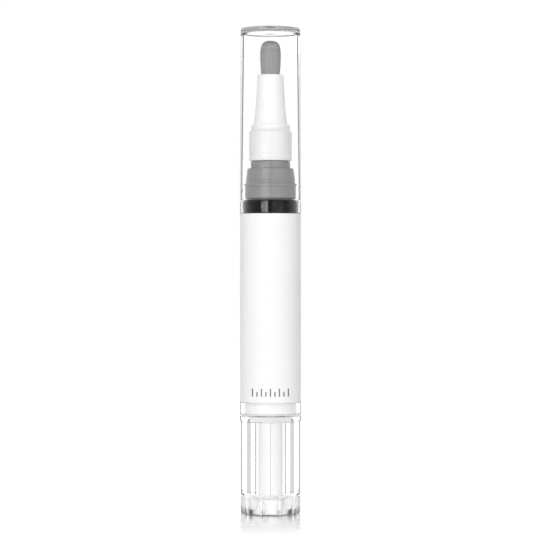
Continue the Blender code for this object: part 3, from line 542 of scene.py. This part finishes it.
def flute_cutters():
    """The tools for the flutes: round bars with low domed ends, one for each flute."""
    half_pitch = math.pi / FLUTE_COUNT - FLUTE_LAND / 2 / KNOB_RADIUS
    chord = KNOB_RADIUS * math.sin(half_pitch)
    inset = math.sqrt(FLUTE_CUTTER_RADIUS**2 - chord**2)
    distance = KNOB_RADIUS * math.cos(half_pitch) + inset
    reach = (distance - KNOB_RADIUS) / FLUTE_CUTTER_RADIUS
    dome = FLUTE_CROWN / math.sqrt(1 - reach * reach)
    spring = FLUTE_HEIGHT - FLUTE_CROWN
    bar = [(0, spring + dome)]
    for step in range(1, FLUTE_CROWN_STEPS + 1):
        rise = math.pi / 2 * (1 - step / FLUTE_CROWN_STEPS)
        bar.append((FLUTE_CUTTER_RADIUS * math.cos(rise), spring + dome * math.sin(rise)))
    bar += [(FLUTE_CUTTER_RADIUS, -CUT_OVERRUN), (0, -CUT_OVERRUN)]
    tools = []
    for index in range(FLUTE_COUNT):
        angle = math.tau * index / FLUTE_COUNT - math.pi / 2
        tool = turned(f"flute_{index + 1:02d}", bar, False, FLUTE_STEPS)
        for vertex in tool.data.vertices:
            vertex.co.x += distance * math.cos(angle)
            vertex.co.y += distance * math.sin(angle)
        tools.append(tool)
    return tools


def cut(piece, tool):
    """Cuts the piece with the tool and takes the tool out of the scene."""
    modifier = piece.modifiers.new("cut", "BOOLEAN")
    modifier.operation = "DIFFERENCE"
    modifier.solver = "EXACT"
    modifier.object = tool
    graph = bpy.context.evaluated_depsgraph_get()
    shape = bpy.data.meshes.new_from_object(piece.evaluated_get(graph))
    piece.modifiers.clear()
    old = piece.data
    piece.data = shape
    bpy.data.meshes.remove(old)
    bpy.data.objects.remove(tool)


def knob():
    """The clear knob, turned and then cut as its CAD node is, in finer steps."""
    piece = turned("knob_clear", knob_outline(), False)
    for tool in (pocket_cutter(), *flute_cutters()):
        cut(piece, tool)
    sharpened(piece)
    weighted(piece, keep_sharp=True)
    return piece


def strand_reach(height):
    """How far from the axis the outermost strands stand, at a height above the cone's exit."""
    if height > TUFT_WIDEST_HEIGHT:
        return TUFT_WIDEST - (height - TUFT_WIDEST_HEIGHT) * STRANDS_CLOSING
    (low, low_radius), (high, high_radius) = next(span for span in TUFT_SPANS if height <= span[1][0])
    share = (height - low) / (high - low)
    return low_radius + (high_radius - low_radius) * share


def strand_top(share):
    """The height at which a strand that is that share of the widest radius out meets the tuft's dome."""
    radius = share * TUFT_WIDEST
    (low, low_radius), (high, high_radius) = next(span for span in TUFT_SPANS[::-1] if span[0][1] >= radius)
    rise = (low_radius - radius) / (low_radius - high_radius)
    return low + (high - low) * rise


def tuft_strands():
    """Nylon strands from inside the cone up to the dome, each one a thin tapered bar."""
    rng = random.Random(STRAND_SEED)
    mesh = bmesh.new()
    for index in range(STRANDS):
        share = math.sqrt((index + 0.5) / STRANDS)
        turn = index * math.pi * GOLDEN_SHARE
        top = strand_top(min(share, STRAND_OUTERMOST)) + rng.uniform(*STRAND_UNEVEN)
        lean = rng.uniform(-STRAND_LEAN, STRAND_LEAN)
        rings = []
        for level in range(STRAND_LEVELS):
            rise = level / (STRAND_LEVELS - 1)
            height = TUFT_FOOT + (top - TUFT_FOOT) * rise
            centre = share * (strand_reach(height) - STRAND_RADIUS)
            angle = turn + lean * rise
            radius = STRAND_RADIUS * (1 - STRAND_TAPER * rise**3)
            ring = []
            for side in range(STRAND_SIDES):
                round_it = turn + math.tau * side / STRAND_SIDES
                across = centre * math.cos(angle) + radius * math.cos(round_it)
                depth = centre * math.sin(angle) + radius * math.sin(round_it)
                ring.append(mesh.verts.new((across, depth, TUFT_EXIT + height)))
            rings.append(ring)
        for low, high in zip(rings, rings[1:]):
            for side in range(STRAND_SIDES):
                onward = (side + 1) % STRAND_SIDES
                mesh.faces.new((low[side], low[onward], high[onward], high[side]))
        mesh.faces.new(reversed(rings[0]))
        mesh.faces.new(rings[-1])
    return mesh_piece("tuft_strands", mesh)


def tuft_core():
    """A closed core just inside the tuft's surface, so that no light comes through between the strands."""
    line = [(0, TUFT_EXIT + TUFT_FOOT)]
    for height, radius in TUFT_SHAPE[:-1]:
        line.append((radius - CORE_GAP, TUFT_EXIT + height - CORE_GAP))
    line.append((0, TUFT_EXIT + TUFT_SHAPE[-1][0] - CORE_GAP * 2))
    return turned("tuft_core", softened(line, False, CORE_SETBACK), False, CORE_STEPS)


# Nodes of the materials
def material(name):
    """A new material, its node tree, its Principled shader and its output."""
    made = bpy.data.materials.new(name)
    made.use_nodes = True
    tree = made.node_tree
    return made, tree, tree.nodes["Principled BSDF"], tree.nodes["Material Output"]


def add(tree, kind, values=None, **settings):
    """A new node with its settings and the values of its sockets."""
    node = tree.nodes.new(kind)
    for key, value in settings.items():
        setattr(node, key, value)
    for key, value in (values or {}).items():
        node.inputs[key].default_value = value
    return node


def own_place(tree):
    """The piece's own coordinates."""
    return add(tree, "ShaderNodeTexCoord").outputs["Object"]


def own_axes(tree):
    """The piece's own X, Y and Z, each by its letter."""
    split = add(tree, "ShaderNodeSeparateXYZ")
    tree.links.new(own_place(tree), split.inputs["Vector"])
    return split.outputs


def noise(tree, scale, detail=4, stretch=(1, 1, 1)):
    """Noise of a scale on the piece's own coordinates, which may be stretched first."""
    mapping = add(tree, "ShaderNodeMapping", {"Scale": stretch})
    tree.links.new(own_place(tree), mapping.inputs["Vector"])
    node = add(tree, "ShaderNodeTexNoise", {"Scale": scale, "Detail": detail})
    tree.links.new(mapping.outputs["Vector"], node.inputs["Vector"])
    return node.outputs["Fac"]


def spread(tree, value, low, high, start=NOISE_LOW, end=NOISE_HIGH, smooth=False):
    """The value, mapped from start..end to low..high."""
    node = add(
        tree,
        "ShaderNodeMapRange",
        {"From Min": start, "From Max": end, "To Min": low, "To Max": high},
        interpolation_type="SMOOTHSTEP" if smooth else "LINEAR",
    )
    tree.links.new(value, node.inputs["Value"])
    return node.outputs["Result"]


def math_node(tree, operation, first, second=None):
    """The result of an operation on one or two values, each a number or a socket."""
    node = add(tree, "ShaderNodeMath", operation=operation)
    for index, value in enumerate((first, second)):
        if value is None:
            continue
        if isinstance(value, (int, float)):
            node.inputs[index].default_value = value
        else:
            tree.links.new(value, node.inputs[index])
    return node.outputs[0]


def product(tree, *values):
    """The values multiplied together."""
    result = values[0]
    for value in values[1:]:
        result = math_node(tree, "MULTIPLY", result, value)
    return result


def blend_colour(tree, factor, low, high):
    """A colour between two others, each a colour or a socket: low at a factor of 0 and high at 1."""
    node = add(tree, "ShaderNodeMix", data_type="RGBA")
    tree.links.new(factor, node.inputs["Factor"])
    for name, colour in (("A", low), ("B", high)):
        socket = [one for one in node.inputs if one.name == name and one.type == "RGBA"][0]
        if isinstance(colour, tuple):
            socket.default_value = (*colour, 1)
        else:
            tree.links.new(colour, socket)
    return [one for one in node.outputs if one.type == "RGBA"][0]


def mix_shaders(tree, factor, low, high):
    """A shader between two others: low at a factor of 0 and high at 1."""
    node = add(tree, "ShaderNodeMixShader")
    tree.links.new(factor, node.inputs["Fac"])
    tree.links.new(low, node.inputs[1])
    tree.links.new(high, node.inputs[2])
    return node.outputs["Shader"]


def bump(tree, shader, height, distance):
    """Bends the shader's normal as if the surface stood out by the distance where height is 1."""
    node = add(tree, "ShaderNodeBump", {"Strength": 1, "Distance": distance})
    tree.links.new(height, node.inputs["Height"])
    tree.links.new(node.outputs["Normal"], shader.inputs["Normal"])


def grey(level):
    """A grey, as a colour."""
    return (level, level, level)


# Materials
def moulded(name, low, high, gloss, roughness, grain=GRAIN_SCALE, depth=GRAIN_DEPTH, gap_reflection_darkness=0):
    """An opaque moulded plastic: a faint mottle between low and high, uneven gloss and a fine grain.

    The last argument sets how far a thin line down the front and the back is darker than the rest: a painted
    dark reflection, as of a gap between the lamps.
    """
    made, tree, shader, _ = material(name)
    mottle = spread(tree, noise(tree, MOTTLE_SCALE), 0, 1)
    colour = blend_colour(tree, mottle, low, high)
    if gap_reflection_darkness:
        # Painted reflection: a thin dark line down the front and the back, as of a dark gap between the
        # lamps.
        aside = math_node(tree, "ABSOLUTE", own_axes(tree)["X"])
        seam_and_painted_line = math_node(tree, "LESS_THAN", aside, GAP_REFLECTION_HALF_WIDTH)
        colour = blend_colour(tree, product(tree, seam_and_painted_line, gap_reflection_darkness), colour, grey(0))
    tree.links.new(colour, shader.inputs["Base Color"])
    tree.links.new(spread(tree, noise(tree, GLOSS_SCALE), *roughness), shader.inputs["Roughness"])
    shader.inputs["Specular IOR Level"].default_value = gloss
    bump(tree, shader, noise(tree, grain), depth)
    return made


def milky_plastic():
    """Milky plastic whose skirt, over the grey spigot, is drawn darker than the cone above it: painted shade
    for the extra light that the upturned cone catches from above.
    """
    made, tree, shader, _ = material("milky_plastic_moulded")
    height = own_axes(tree)["Z"]
    # Painted shade: below the cone's foot the skirt blends to a darker grey than the cone.
    skirt_shade = spread(tree, height, 1, 0, SKIRT_TOP, CONE_FOOT, smooth=True)
    mottle = spread(tree, noise(tree, MOTTLE_SCALE), 0, 1)
    cone = blend_colour(tree, mottle, *map(grey, CONE_GREYS))
    tree.links.new(blend_colour(tree, skirt_shade, cone, grey(SKIRT_SHADE_GREY)), shader.inputs["Base Color"])
    tree.links.new(spread(tree, noise(tree, GLOSS_SCALE), *MILKY_ROUGHNESS), shader.inputs["Roughness"])
    shader.inputs["Specular IOR Level"].default_value = MILKY_GLOSS
    shader.inputs["Sheen Weight"].default_value = MILKY_SHEEN
    shader.inputs["Sheen Roughness"].default_value = MILKY_SHEEN_ROUGHNESS
    bump(tree, shader, noise(tree, GRAIN_SCALE), GRAIN_DEPTH)
    return made


def edge_darkening(tree, outside, inside, line):
    """How much each point of clear plastic is darkened, and its grey where it is."""
    facing = add(tree, "ShaderNodeLayerWeight").outputs["Facing"]
    within = add(tree, "ShaderNodeNewGeometry").outputs["Backfacing"]
    rim = add(tree, "ShaderNodeMix")
    tree.links.new(within, rim.inputs["Factor"])
    tree.links.new(spread(tree, facing, 0, 1, *outside[:2], smooth=True), rim.inputs["A"])
    tree.links.new(spread(tree, facing, 0, 1, *inside[:2], smooth=True), rim.inputs["B"])
    edge = rim.outputs["Result"]
    shade = blend_colour(tree, within, grey(outside[2]), grey(inside[2]))
    if line is None:
        return edge, shade
    first = spread(tree, facing, 0, 1, *CRITICAL_LINE[:2], smooth=True)
    last = spread(tree, facing, 1, 0, *CRITICAL_LINE[2:], smooth=True)
    thin = product(tree, first, last, within)
    return math_node(tree, "MAXIMUM", edge, thin), blend_colour(tree, thin, shade, grey(line))


def clear_nodes(name, outside, inside, line=None, tint=1.0, roughness=CLEAR_ROUGHNESS, ior=CLEAR_IOR):
    """Clear plastic that darkens where it is seen edge-on, and lets the lamps light what is inside.

    outside and inside give, for a ray that meets the surface from the air and from within the plastic, how
    far edge-on the darkening starts and ends, and the share of light that is left there. line is the share
    that is left in the thin line where light starts to be turned back within the plastic. tint is the grey
    of the plastic; below 1 on one zone of a piece, as on the knob's flutes, it is painted shade.

    Returns the material, its node tree, its plain shader and the shader of its darkened edge.
    """
    made, tree, shader, output = material(name)
    shader.inputs["Base Color"].default_value = (*grey(tint), 1)
    shader.inputs["Transmission Weight"].default_value = 1
    shader.inputs["IOR"].default_value = ior
    shader.inputs["Specular Tint"].default_value = (*grey(CLEAR_GLOSS), 1)
    uneven = spread(tree, noise(tree, CLEAR_GLOSS_SCALE), *roughness)
    tree.links.new(uneven, shader.inputs["Roughness"])
    waves = noise(tree, CLEAR_WAVE_SCALE, detail=2, stretch=CLEAR_WAVE_STRETCH)
    bump(tree, shader, waves, CLEAR_WAVE_DEPTH)
    edge, shade = edge_darkening(tree, outside, inside, line)
    dark = add(tree, "ShaderNodeBsdfGlass", {"IOR": ior})
    tree.links.new(shade, dark.inputs["Color"])
    tree.links.new(uneven, dark.inputs["Roughness"])
    body = mix_shaders(tree, edge, shader.outputs["BSDF"], dark.outputs["BSDF"])
    ray = add(tree, "ShaderNodeLightPath")
    passing = math_node(tree, "MAXIMUM", ray.outputs["Is Shadow Ray"], ray.outputs["Is Diffuse Ray"])
    open_way = add(tree, "ShaderNodeBsdfTransparent", {"Color": (*grey(CLEAR_SHADOW), 1)})
    whole = mix_shaders(tree, passing, body, open_way.outputs["BSDF"])
    tree.links.new(whole, output.inputs["Surface"])
    return made, tree, shader, dark


def clear(name, outside, inside, **settings):
    """The material alone of a clear plastic, as clear_nodes makes it."""
    return clear_nodes(name, outside, inside, **settings)[0]


def foot_with_painted_shade():
    """The knob's foot: clear in the middle, with painted shade round that for the shadow where the base meets
    the floor, and a little less of it at the rim.
    """
    made, tree, shader, dark = clear_nodes("clear_base", outside=(0.7, 0.8, 0.4), inside=(0.3, 0.6, 0.5))
    flat = add(tree, "ShaderNodeVectorMath", operation="MULTIPLY")
    flat.inputs[1].default_value = (1, 1, 0)
    tree.links.new(own_place(tree), flat.inputs[0])
    length = add(tree, "ShaderNodeVectorMath", operation="LENGTH")
    tree.links.new(flat.outputs["Vector"], length.inputs[0])
    reach = length.outputs["Value"]
    # Painted shade: a ring round the clear middle is drawn darker, and a little less so towards the rim.
    foot_shade = spread(tree, reach, 0, 1, FOOT_SHADE_START, FOOT_SHADE_FULL, smooth=True)
    rim_easing = spread(tree, reach, 1, RIM_SHADE_LEFT, RIM_EASING_START, RIM_EASING_FULL, smooth=True)
    foot_shade = product(tree, foot_shade, rim_easing)
    tree.links.new(blend_colour(tree, foot_shade, grey(1), grey(FOOT_SHADE_GREY)), shader.inputs["Base Color"])
    tree.links.new(blend_colour(tree, foot_shade, grey(1), grey(FOOT_SHADE_EDGE_GREY)), dark.inputs["Color"])
    return made


def ticks(tree, axes):
    """One on the wrap's plain scale: a row of upright ticks in front, every second one longer."""
    across = axes["X"]
    shifted = math_node(tree, "ADD", across, TICK_PITCH / 2)
    cell = math_node(tree, "FLOOR", math_node(tree, "DIVIDE", shifted, TICK_PITCH))
    offset = math_node(tree, "SUBTRACT", across, product(tree, cell, TICK_PITCH))
    line = math_node(tree, "LESS_THAN", math_node(tree, "ABSOLUTE", offset), TICK_HALF_WIDTH)
    far = math_node(tree, "ABSOLUTE", cell)
    in_row = math_node(tree, "LESS_THAN", far, TICKS_EACH_SIDE + 0.5)
    longer = math_node(tree, "LESS_THAN", math_node(tree, "MODULO", far, 2), 0.5)
    above = math_node(tree, "GREATER_THAN", axes["Z"], TICK_FOOT)
    top = math_node(tree, "ADD", product(tree, longer, TICK_EXTRA), TICK_TOP)
    below = math_node(tree, "LESS_THAN", axes["Z"], top)
    front = math_node(tree, "LESS_THAN", axes["Y"], 0)
    return product(tree, line, in_row, above, below, front)


def wrap():
    """White printed film: a fine satin grain, a lap seam at the back and a small plain scale in front."""
    made, tree, shader, _ = material("white_wrap_film")
    axes = own_axes(tree)
    paper = spread(tree, noise(tree, WRAP_GRAIN_SCALE, detail=5), 0, 1)
    ground = blend_colour(tree, paper, *map(grey, WRAP_GREYS))
    printed = blend_colour(tree, ticks(tree, axes), ground, grey(TICK_GREY))
    back = math_node(tree, "GREATER_THAN", axes["Y"], 0)
    aside = math_node(tree, "ABSOLUTE", axes["X"])
    seam_and_painted_line = product(tree, math_node(tree, "LESS_THAN", aside, SEAM_HALF_WIDTH), back)
    lapped = blend_colour(tree, product(tree, seam_and_painted_line, SEAM_STRENGTH), printed, grey(SEAM_GREY))
    tree.links.new(lapped, shader.inputs["Base Color"])
    uneven = spread(tree, noise(tree, WRAP_GLOSS_SCALE), *WRAP_ROUGHNESS)
    tree.links.new(uneven, shader.inputs["Roughness"])
    shader.inputs["Specular IOR Level"].default_value = WRAP_GLOSS
    bump(tree, shader, math_node(tree, "SUBTRACT", paper, seam_and_painted_line), WRAP_GRAIN_DEPTH)
    return made


def nylon():
    """Grey nylon filament, streaked along its length."""
    made, tree, shader, _ = material("grey_nylon_filament")
    streak = spread(tree, noise(tree, STREAK_SCALE, detail=3, stretch=STREAK_STRETCH), 0, 1)
    tree.links.new(blend_colour(tree, streak, *map(grey, NYLON_GREYS)), shader.inputs["Base Color"])
    uneven = spread(tree, noise(tree, NYLON_GLOSS_SCALE), *NYLON_ROUGHNESS)
    tree.links.new(uneven, shader.inputs["Roughness"])
    shader.inputs["Specular IOR Level"].default_value = NYLON_GLOSS
    return made


# Dressing the pieces
def dress(piece, *looks):
    """Gives a piece its materials, in slots of the object's own."""
    for _ in looks:
        piece.data.materials.append(None)
    for slot, look in zip(piece.material_slots, looks):
        slot.link = "OBJECT"
        slot.material = look


def dress_by_place(piece, place_of, looks):
    """Gives each face of a piece the material that looks holds for its place."""
    dress(piece, *looks.values())
    places = list(looks)
    for face in piece.data.polygons:
        face.material_index = places.index(place_of(face))


def outward(face):
    """How far a face's normal points away from the axis."""
    reach = math.hypot(face.center.x, face.center.y)
    return (face.normal.x * face.center.x + face.normal.y * face.center.y) / max(reach, ON_PLANE)


def barrel_place(face):
    """Whether a face of the barrel is a wall or an end."""
    return "end" if abs(face.normal.z) > SLOPING else "wall"


def cap_place(face):
    """Where on the cap a face lies. The end is the side of its closed end."""
    height = face.center.z
    reach = math.hypot(face.center.x, face.center.y)
    if height > CAP_TOP_ABOVE and reach < GATE_RADIUS:
        return "gate"
    if height > CAP_CEILING_ABOVE and reach < GATE_SHADE_RADIUS:
        return "under gate"
    if height > CAP_TOP_ABOVE and face.normal.z > LEVEL:
        return "top"
    if abs(face.normal.z) > SLOPING:
        return "level"
    if height > CAP_CEILING and reach > CAP_HEAD_BORE:
        return "end"
    return "bore" if outward(face) < 0 else "side"


def knob_place(face):
    """Where on the knob a face lies. The well's ceiling, the pocket and the bore's foot count as level."""
    height = face.center.z
    reach = math.hypot(face.center.x, face.center.y)
    inward = outward(face) < INWARD
    if height < KNOB_WELL_CHAMFER and face.normal.z < DOWNWARD:
        return "base"
    if height < WELL_BELOW and reach < KNOB_WELL_RADIUS + ON_PLANE:
        return "level" if face.normal.z < -LEVEL else "well"
    if height > BORE_ABOVE and abs(face.normal.z) > LEVEL:
        return "level"
    if height > KNOB_HEIGHT - KNOB_POCKET_DEPTH and reach < KNOB_POCKET_RADIUS:
        return "level"
    if height < BORE_LEVEL_BELOW and inward:
        return "level"
    if inward or (height > BORE_ABOVE and reach < BORE_WITHIN):
        return "bore"
    if height < FLUTE_HEIGHT and reach < FLUTES_WITHIN:
        return "crown" if height > CROWNS_ABOVE else "flute"
    return "side"


# Studio
def seen_white(tree):
    """One for a ray that shows the background: from the camera, a gloss or a clear piece."""
    ray = add(tree, "ShaderNodeLightPath")
    both = math_node(tree, "MAXIMUM", ray.outputs["Is Camera Ray"], ray.outputs["Is Glossy Ray"])
    return math_node(tree, "MAXIMUM", both, ray.outputs["Is Transmission Ray"])


def sky():
    """A plain grey light from all round, which looks white behind the pen."""
    world = bpy.data.worlds.new("studio_light")
    bpy.context.scene.world = world
    world.use_nodes = True
    tree = world.node_tree
    light = tree.nodes["Background"]
    light.inputs["Color"].default_value = (1, 1, 1, 1)
    light.inputs["Strength"].default_value = SKY_LEVEL
    white = add(tree, "ShaderNodeBackground", {"Color": (1, 1, 1, 1), "Strength": 1})
    mixed = mix_shaders(tree, seen_white(tree), light.outputs["Background"], white.outputs["Background"])
    tree.links.new(mixed, tree.nodes["World Output"].inputs["Surface"])


def floor_white():
    """White that is softly polished near the pen and fades to the plain background away from it."""
    made, tree, shader, output = material("floor_white")
    shader.inputs["Base Color"].default_value = (*grey(FLOOR_GREY), 1)
    shader.inputs["Roughness"].default_value = 1
    shader.inputs["Specular IOR Level"].default_value = 0
    away = add(tree, "ShaderNodeVectorMath", operation="LENGTH")
    tree.links.new(own_place(tree), away.inputs[0])
    share = spread(tree, away.outputs["Value"], FLOOR_GLOSS, 0, FLOOR_GLOSS_FULL, FLOOR_GLOSS_END)
    gloss = add(tree, "ShaderNodeBsdfGlossy", {"Color": (1, 1, 1, 1), "Roughness": FLOOR_GLOSS_ROUGHNESS})
    polished = mix_shaders(tree, share, shader.outputs["BSDF"], gloss.outputs["BSDF"])
    fading = math_node(tree, "POWER", math_node(tree, "SUBTRACT", 1, share), FLOOR_GLOW_POWER)
    lift = product(tree, fading, FLOOR_GLOW)
    glow = add(tree, "ShaderNodeEmission", {"Color": (1, 1, 1, 1)})
    tree.links.new(product(tree, seen_white(tree), lift), glow.inputs["Strength"])
    whole = add(tree, "ShaderNodeAddShader")
    tree.links.new(polished, whole.inputs[0])
    tree.links.new(glow.outputs["Emission"], whole.inputs[1])
    tree.links.new(whole.outputs["Shader"], output.inputs["Surface"])
    return made


def floor():
    """The floor, a hair below the pen's base."""
    mesh = bmesh.new()
    bmesh.ops.create_grid(mesh, x_segments=2, y_segments=2, size=FLOOR_SIZE / 2)
    bmesh.ops.translate(mesh, vec=(0, 0, -FLOOR_DROP), verts=mesh.verts)
    piece = linked("floor", mesh)
    piece.data.materials.append(floor_white())


def softbox(name, azimuth, distance, height, size, radiance):
    """An area lamp that faces the pen and is as bright as radiance says."""
    lamp = bpy.data.lights.new(name, "AREA")
    lamp.shape = "RECTANGLE"
    lamp.size, lamp.size_y = size
    lamp.energy = radiance * math.pi * size[0] * size[1]
    holder = bpy.data.objects.new(name, lamp)
    bpy.context.scene.collection.objects.link(holder)
    angle = math.radians(azimuth)
    holder.location = (distance * math.sin(angle), -distance * math.cos(angle), height)
    aim = Vector(LAMP_TARGET) - holder.location
    holder.rotation_euler = aim.to_track_quat("-Z", "Y").to_euler()


def camera():
    """The camera, level and in front of the pen, as in the photograph."""
    lens = bpy.data.cameras.new("camera")
    lens.sensor_width = SENSOR_WIDTH
    lens.lens = SENSOR_WIDTH * CAMERA_FOCAL_PIXELS / CAMERA_PIXELS
    lens.clip_start = CLIP_START
    lens.clip_end = CLIP_END
    eye = bpy.data.objects.new("camera", lens)
    eye.location = CAMERA_PLACE
    eye.rotation_euler = (math.pi / 2, 0, 0)
    bpy.context.scene.collection.objects.link(eye)
    bpy.context.scene.camera = eye


# Build
bpy.context.scene.view_settings.view_transform = "Standard"
camera()
sky()
floor()
for lamp in SOFTBOXES:
    softbox(*lamp)

clear_level = clear("clear_level", outside=(0.90, 1.00, 0.97), inside=(0.90, 1.00, 0.99))
barrel_looks = {
    "wall": clear("clear_barrel", outside=(0.66, 0.80, 0.50), inside=(0.60, 0.95, 0.80)),
    "end": clear_level,
}
cap_looks = {
    "side": clear("clear_cap", outside=CAP_FROM_AIR, inside=(0.55, 0.80, 0.60)),
    "bore": clear("clear_cap_bore", outside=(0.86, 0.96, 0.60), inside=(0.235, 0.25, 0.90), line=0.17),
    "level": clear_level,
    "top": clear("clear_cap_top", outside=CAP_FROM_AIR, inside=LID_FROM_WITHIN),
    "gate": clear("clear_cap_gate", outside=CAP_FROM_AIR, inside=(*ANY_ANGLE, 0.75)),
    "end": clear("clear_cap_end", outside=CAP_FROM_AIR, inside=(*ANY_ANGLE, 0.44)),
    "under gate": clear("clear_gate_shade", outside=(0.86, 0.89, 0.01), inside=LID_FROM_WITHIN),
}
knob_looks = {
    "side": clear("clear_knob", outside=(0.66, 0.78, 0.36), inside=(0.60, 0.95, 0.75)),
    "bore": clear("clear_knob_bore", outside=(0.60, 0.78, 0.30), inside=(0.40, 0.50, 0.60), line=0.5),
    # Painted shade: the flutes' lower tint and their darkening from nearly face-on draw the fluted foot
    # greyer than the rest of the knob.
    "flute": clear(
        "clear_knob_flute",
        outside=(0.02, 0.25, 0.84),
        inside=(0.02, 0.25, 0.86),
        tint=0.95,
        roughness=(0.24, 0.34),
    ),
    "base": foot_with_painted_shade(),
    "level": clear_level,
    "well": clear("clear_knob_well", outside=(0.50, 0.95, 0.60), inside=(0.20, 0.28, 0.22)),
    "crown": clear(
        "clear_knob_crown",
        outside=(*ANY_ANGLE, 0.90),
        inside=(*ANY_ANGLE, 0.93),
        ior=CROWN_IOR,
    ),
}
film = wrap()
milky = milky_plastic()
white = moulded("white_plastic_moulded", grey(0.94), grey(0.96), gloss=0.35, roughness=(0.3, 0.38))
# The white core and the grey neck get the painted dark reflection line down their front and back.
core_white = moulded(
    "white_core_moulded",
    grey(0.88),
    grey(0.91),
    gloss=0.3,
    roughness=(0.32, 0.42),
    gap_reflection_darkness=0.28,
)
neck_grey = moulded(
    "grey_plastic_moulded",
    grey(0.28),
    grey(0.295),
    gloss=0.2,
    roughness=(0.3, 0.36),
    gap_reflection_darkness=0.2,
)
rubber = moulded(
    "black_rubber_satin",
    grey(0.004),
    grey(0.006),
    gloss=0.14,
    roughness=(0.01, 0.025),
    grain=1500,
    depth=0.0000005,
)
natural = moulded(
    "natural_plastic_moulded",
    (0.84, 0.85, 0.84),
    (0.87, 0.88, 0.87),
    gloss=0.4,
    roughness=(0.4, 0.5),
)
filament = nylon()

TURNED = [
    ("barrel", "barrel_unit", barrel_looks, "clear_acrylic"),
    ("label_sleeve", "barrel_unit", film, "white_wrap"),
    ("seal_ring", "barrel_unit", rubber, "black_rubber"),
    ("neck", "barrel_unit", neck_grey, "grey_plastic"),
    ("applicator", "barrel_unit", milky, "white_plastic"),
    ("screw_nut", "barrel_unit", white, "white_plastic"),
]
for node, body, look, slot in TURNED:
    piece = smooth_copy(node, NUT_DROP if node == "screw_nut" else 0)
    if node == "barrel":
        dress_by_place(piece, barrel_place, look)
    else:
        dress(piece, look)
    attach(piece, body)
    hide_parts(node)

cap_piece = clear_cap()
dress_by_place(cap_piece, cap_place, cap_looks)
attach(cap_piece, "cap_unit")
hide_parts("cap")

clear_knob = knob()
dress_by_place(clear_knob, knob_place, knob_looks)
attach(clear_knob, "knob_unit")
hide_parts("knob")

strands = tuft_strands()
core = tuft_core()
for piece in (strands, core):
    dress(piece, filament)
    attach(piece, "barrel_unit")
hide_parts("bristles")

SHADED = [
    ("drive_sleeve", "knob_unit", core_white, "white_plastic"),
    ("lead_screw", "screw_unit", white, "white_plastic"),
    ("ratchet_ring", "barrel_unit", white, "white_plastic"),
    ("brush_holder", "barrel_unit", natural, "natural_plastic"),
    ("feed_tube", "barrel_unit", natural, "natural_plastic"),
    ("tube_holder", "barrel_unit", natural, "natural_plastic"),
    ("click_wheel", "knob_unit", natural, "natural_plastic"),
    ("piston", "piston_unit", natural, "natural_plastic"),
]
for node, body, look, slot in SHADED:
    piece = shaded_copy(node)
    dress(piece, look)
    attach(piece, body)
    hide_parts(node)
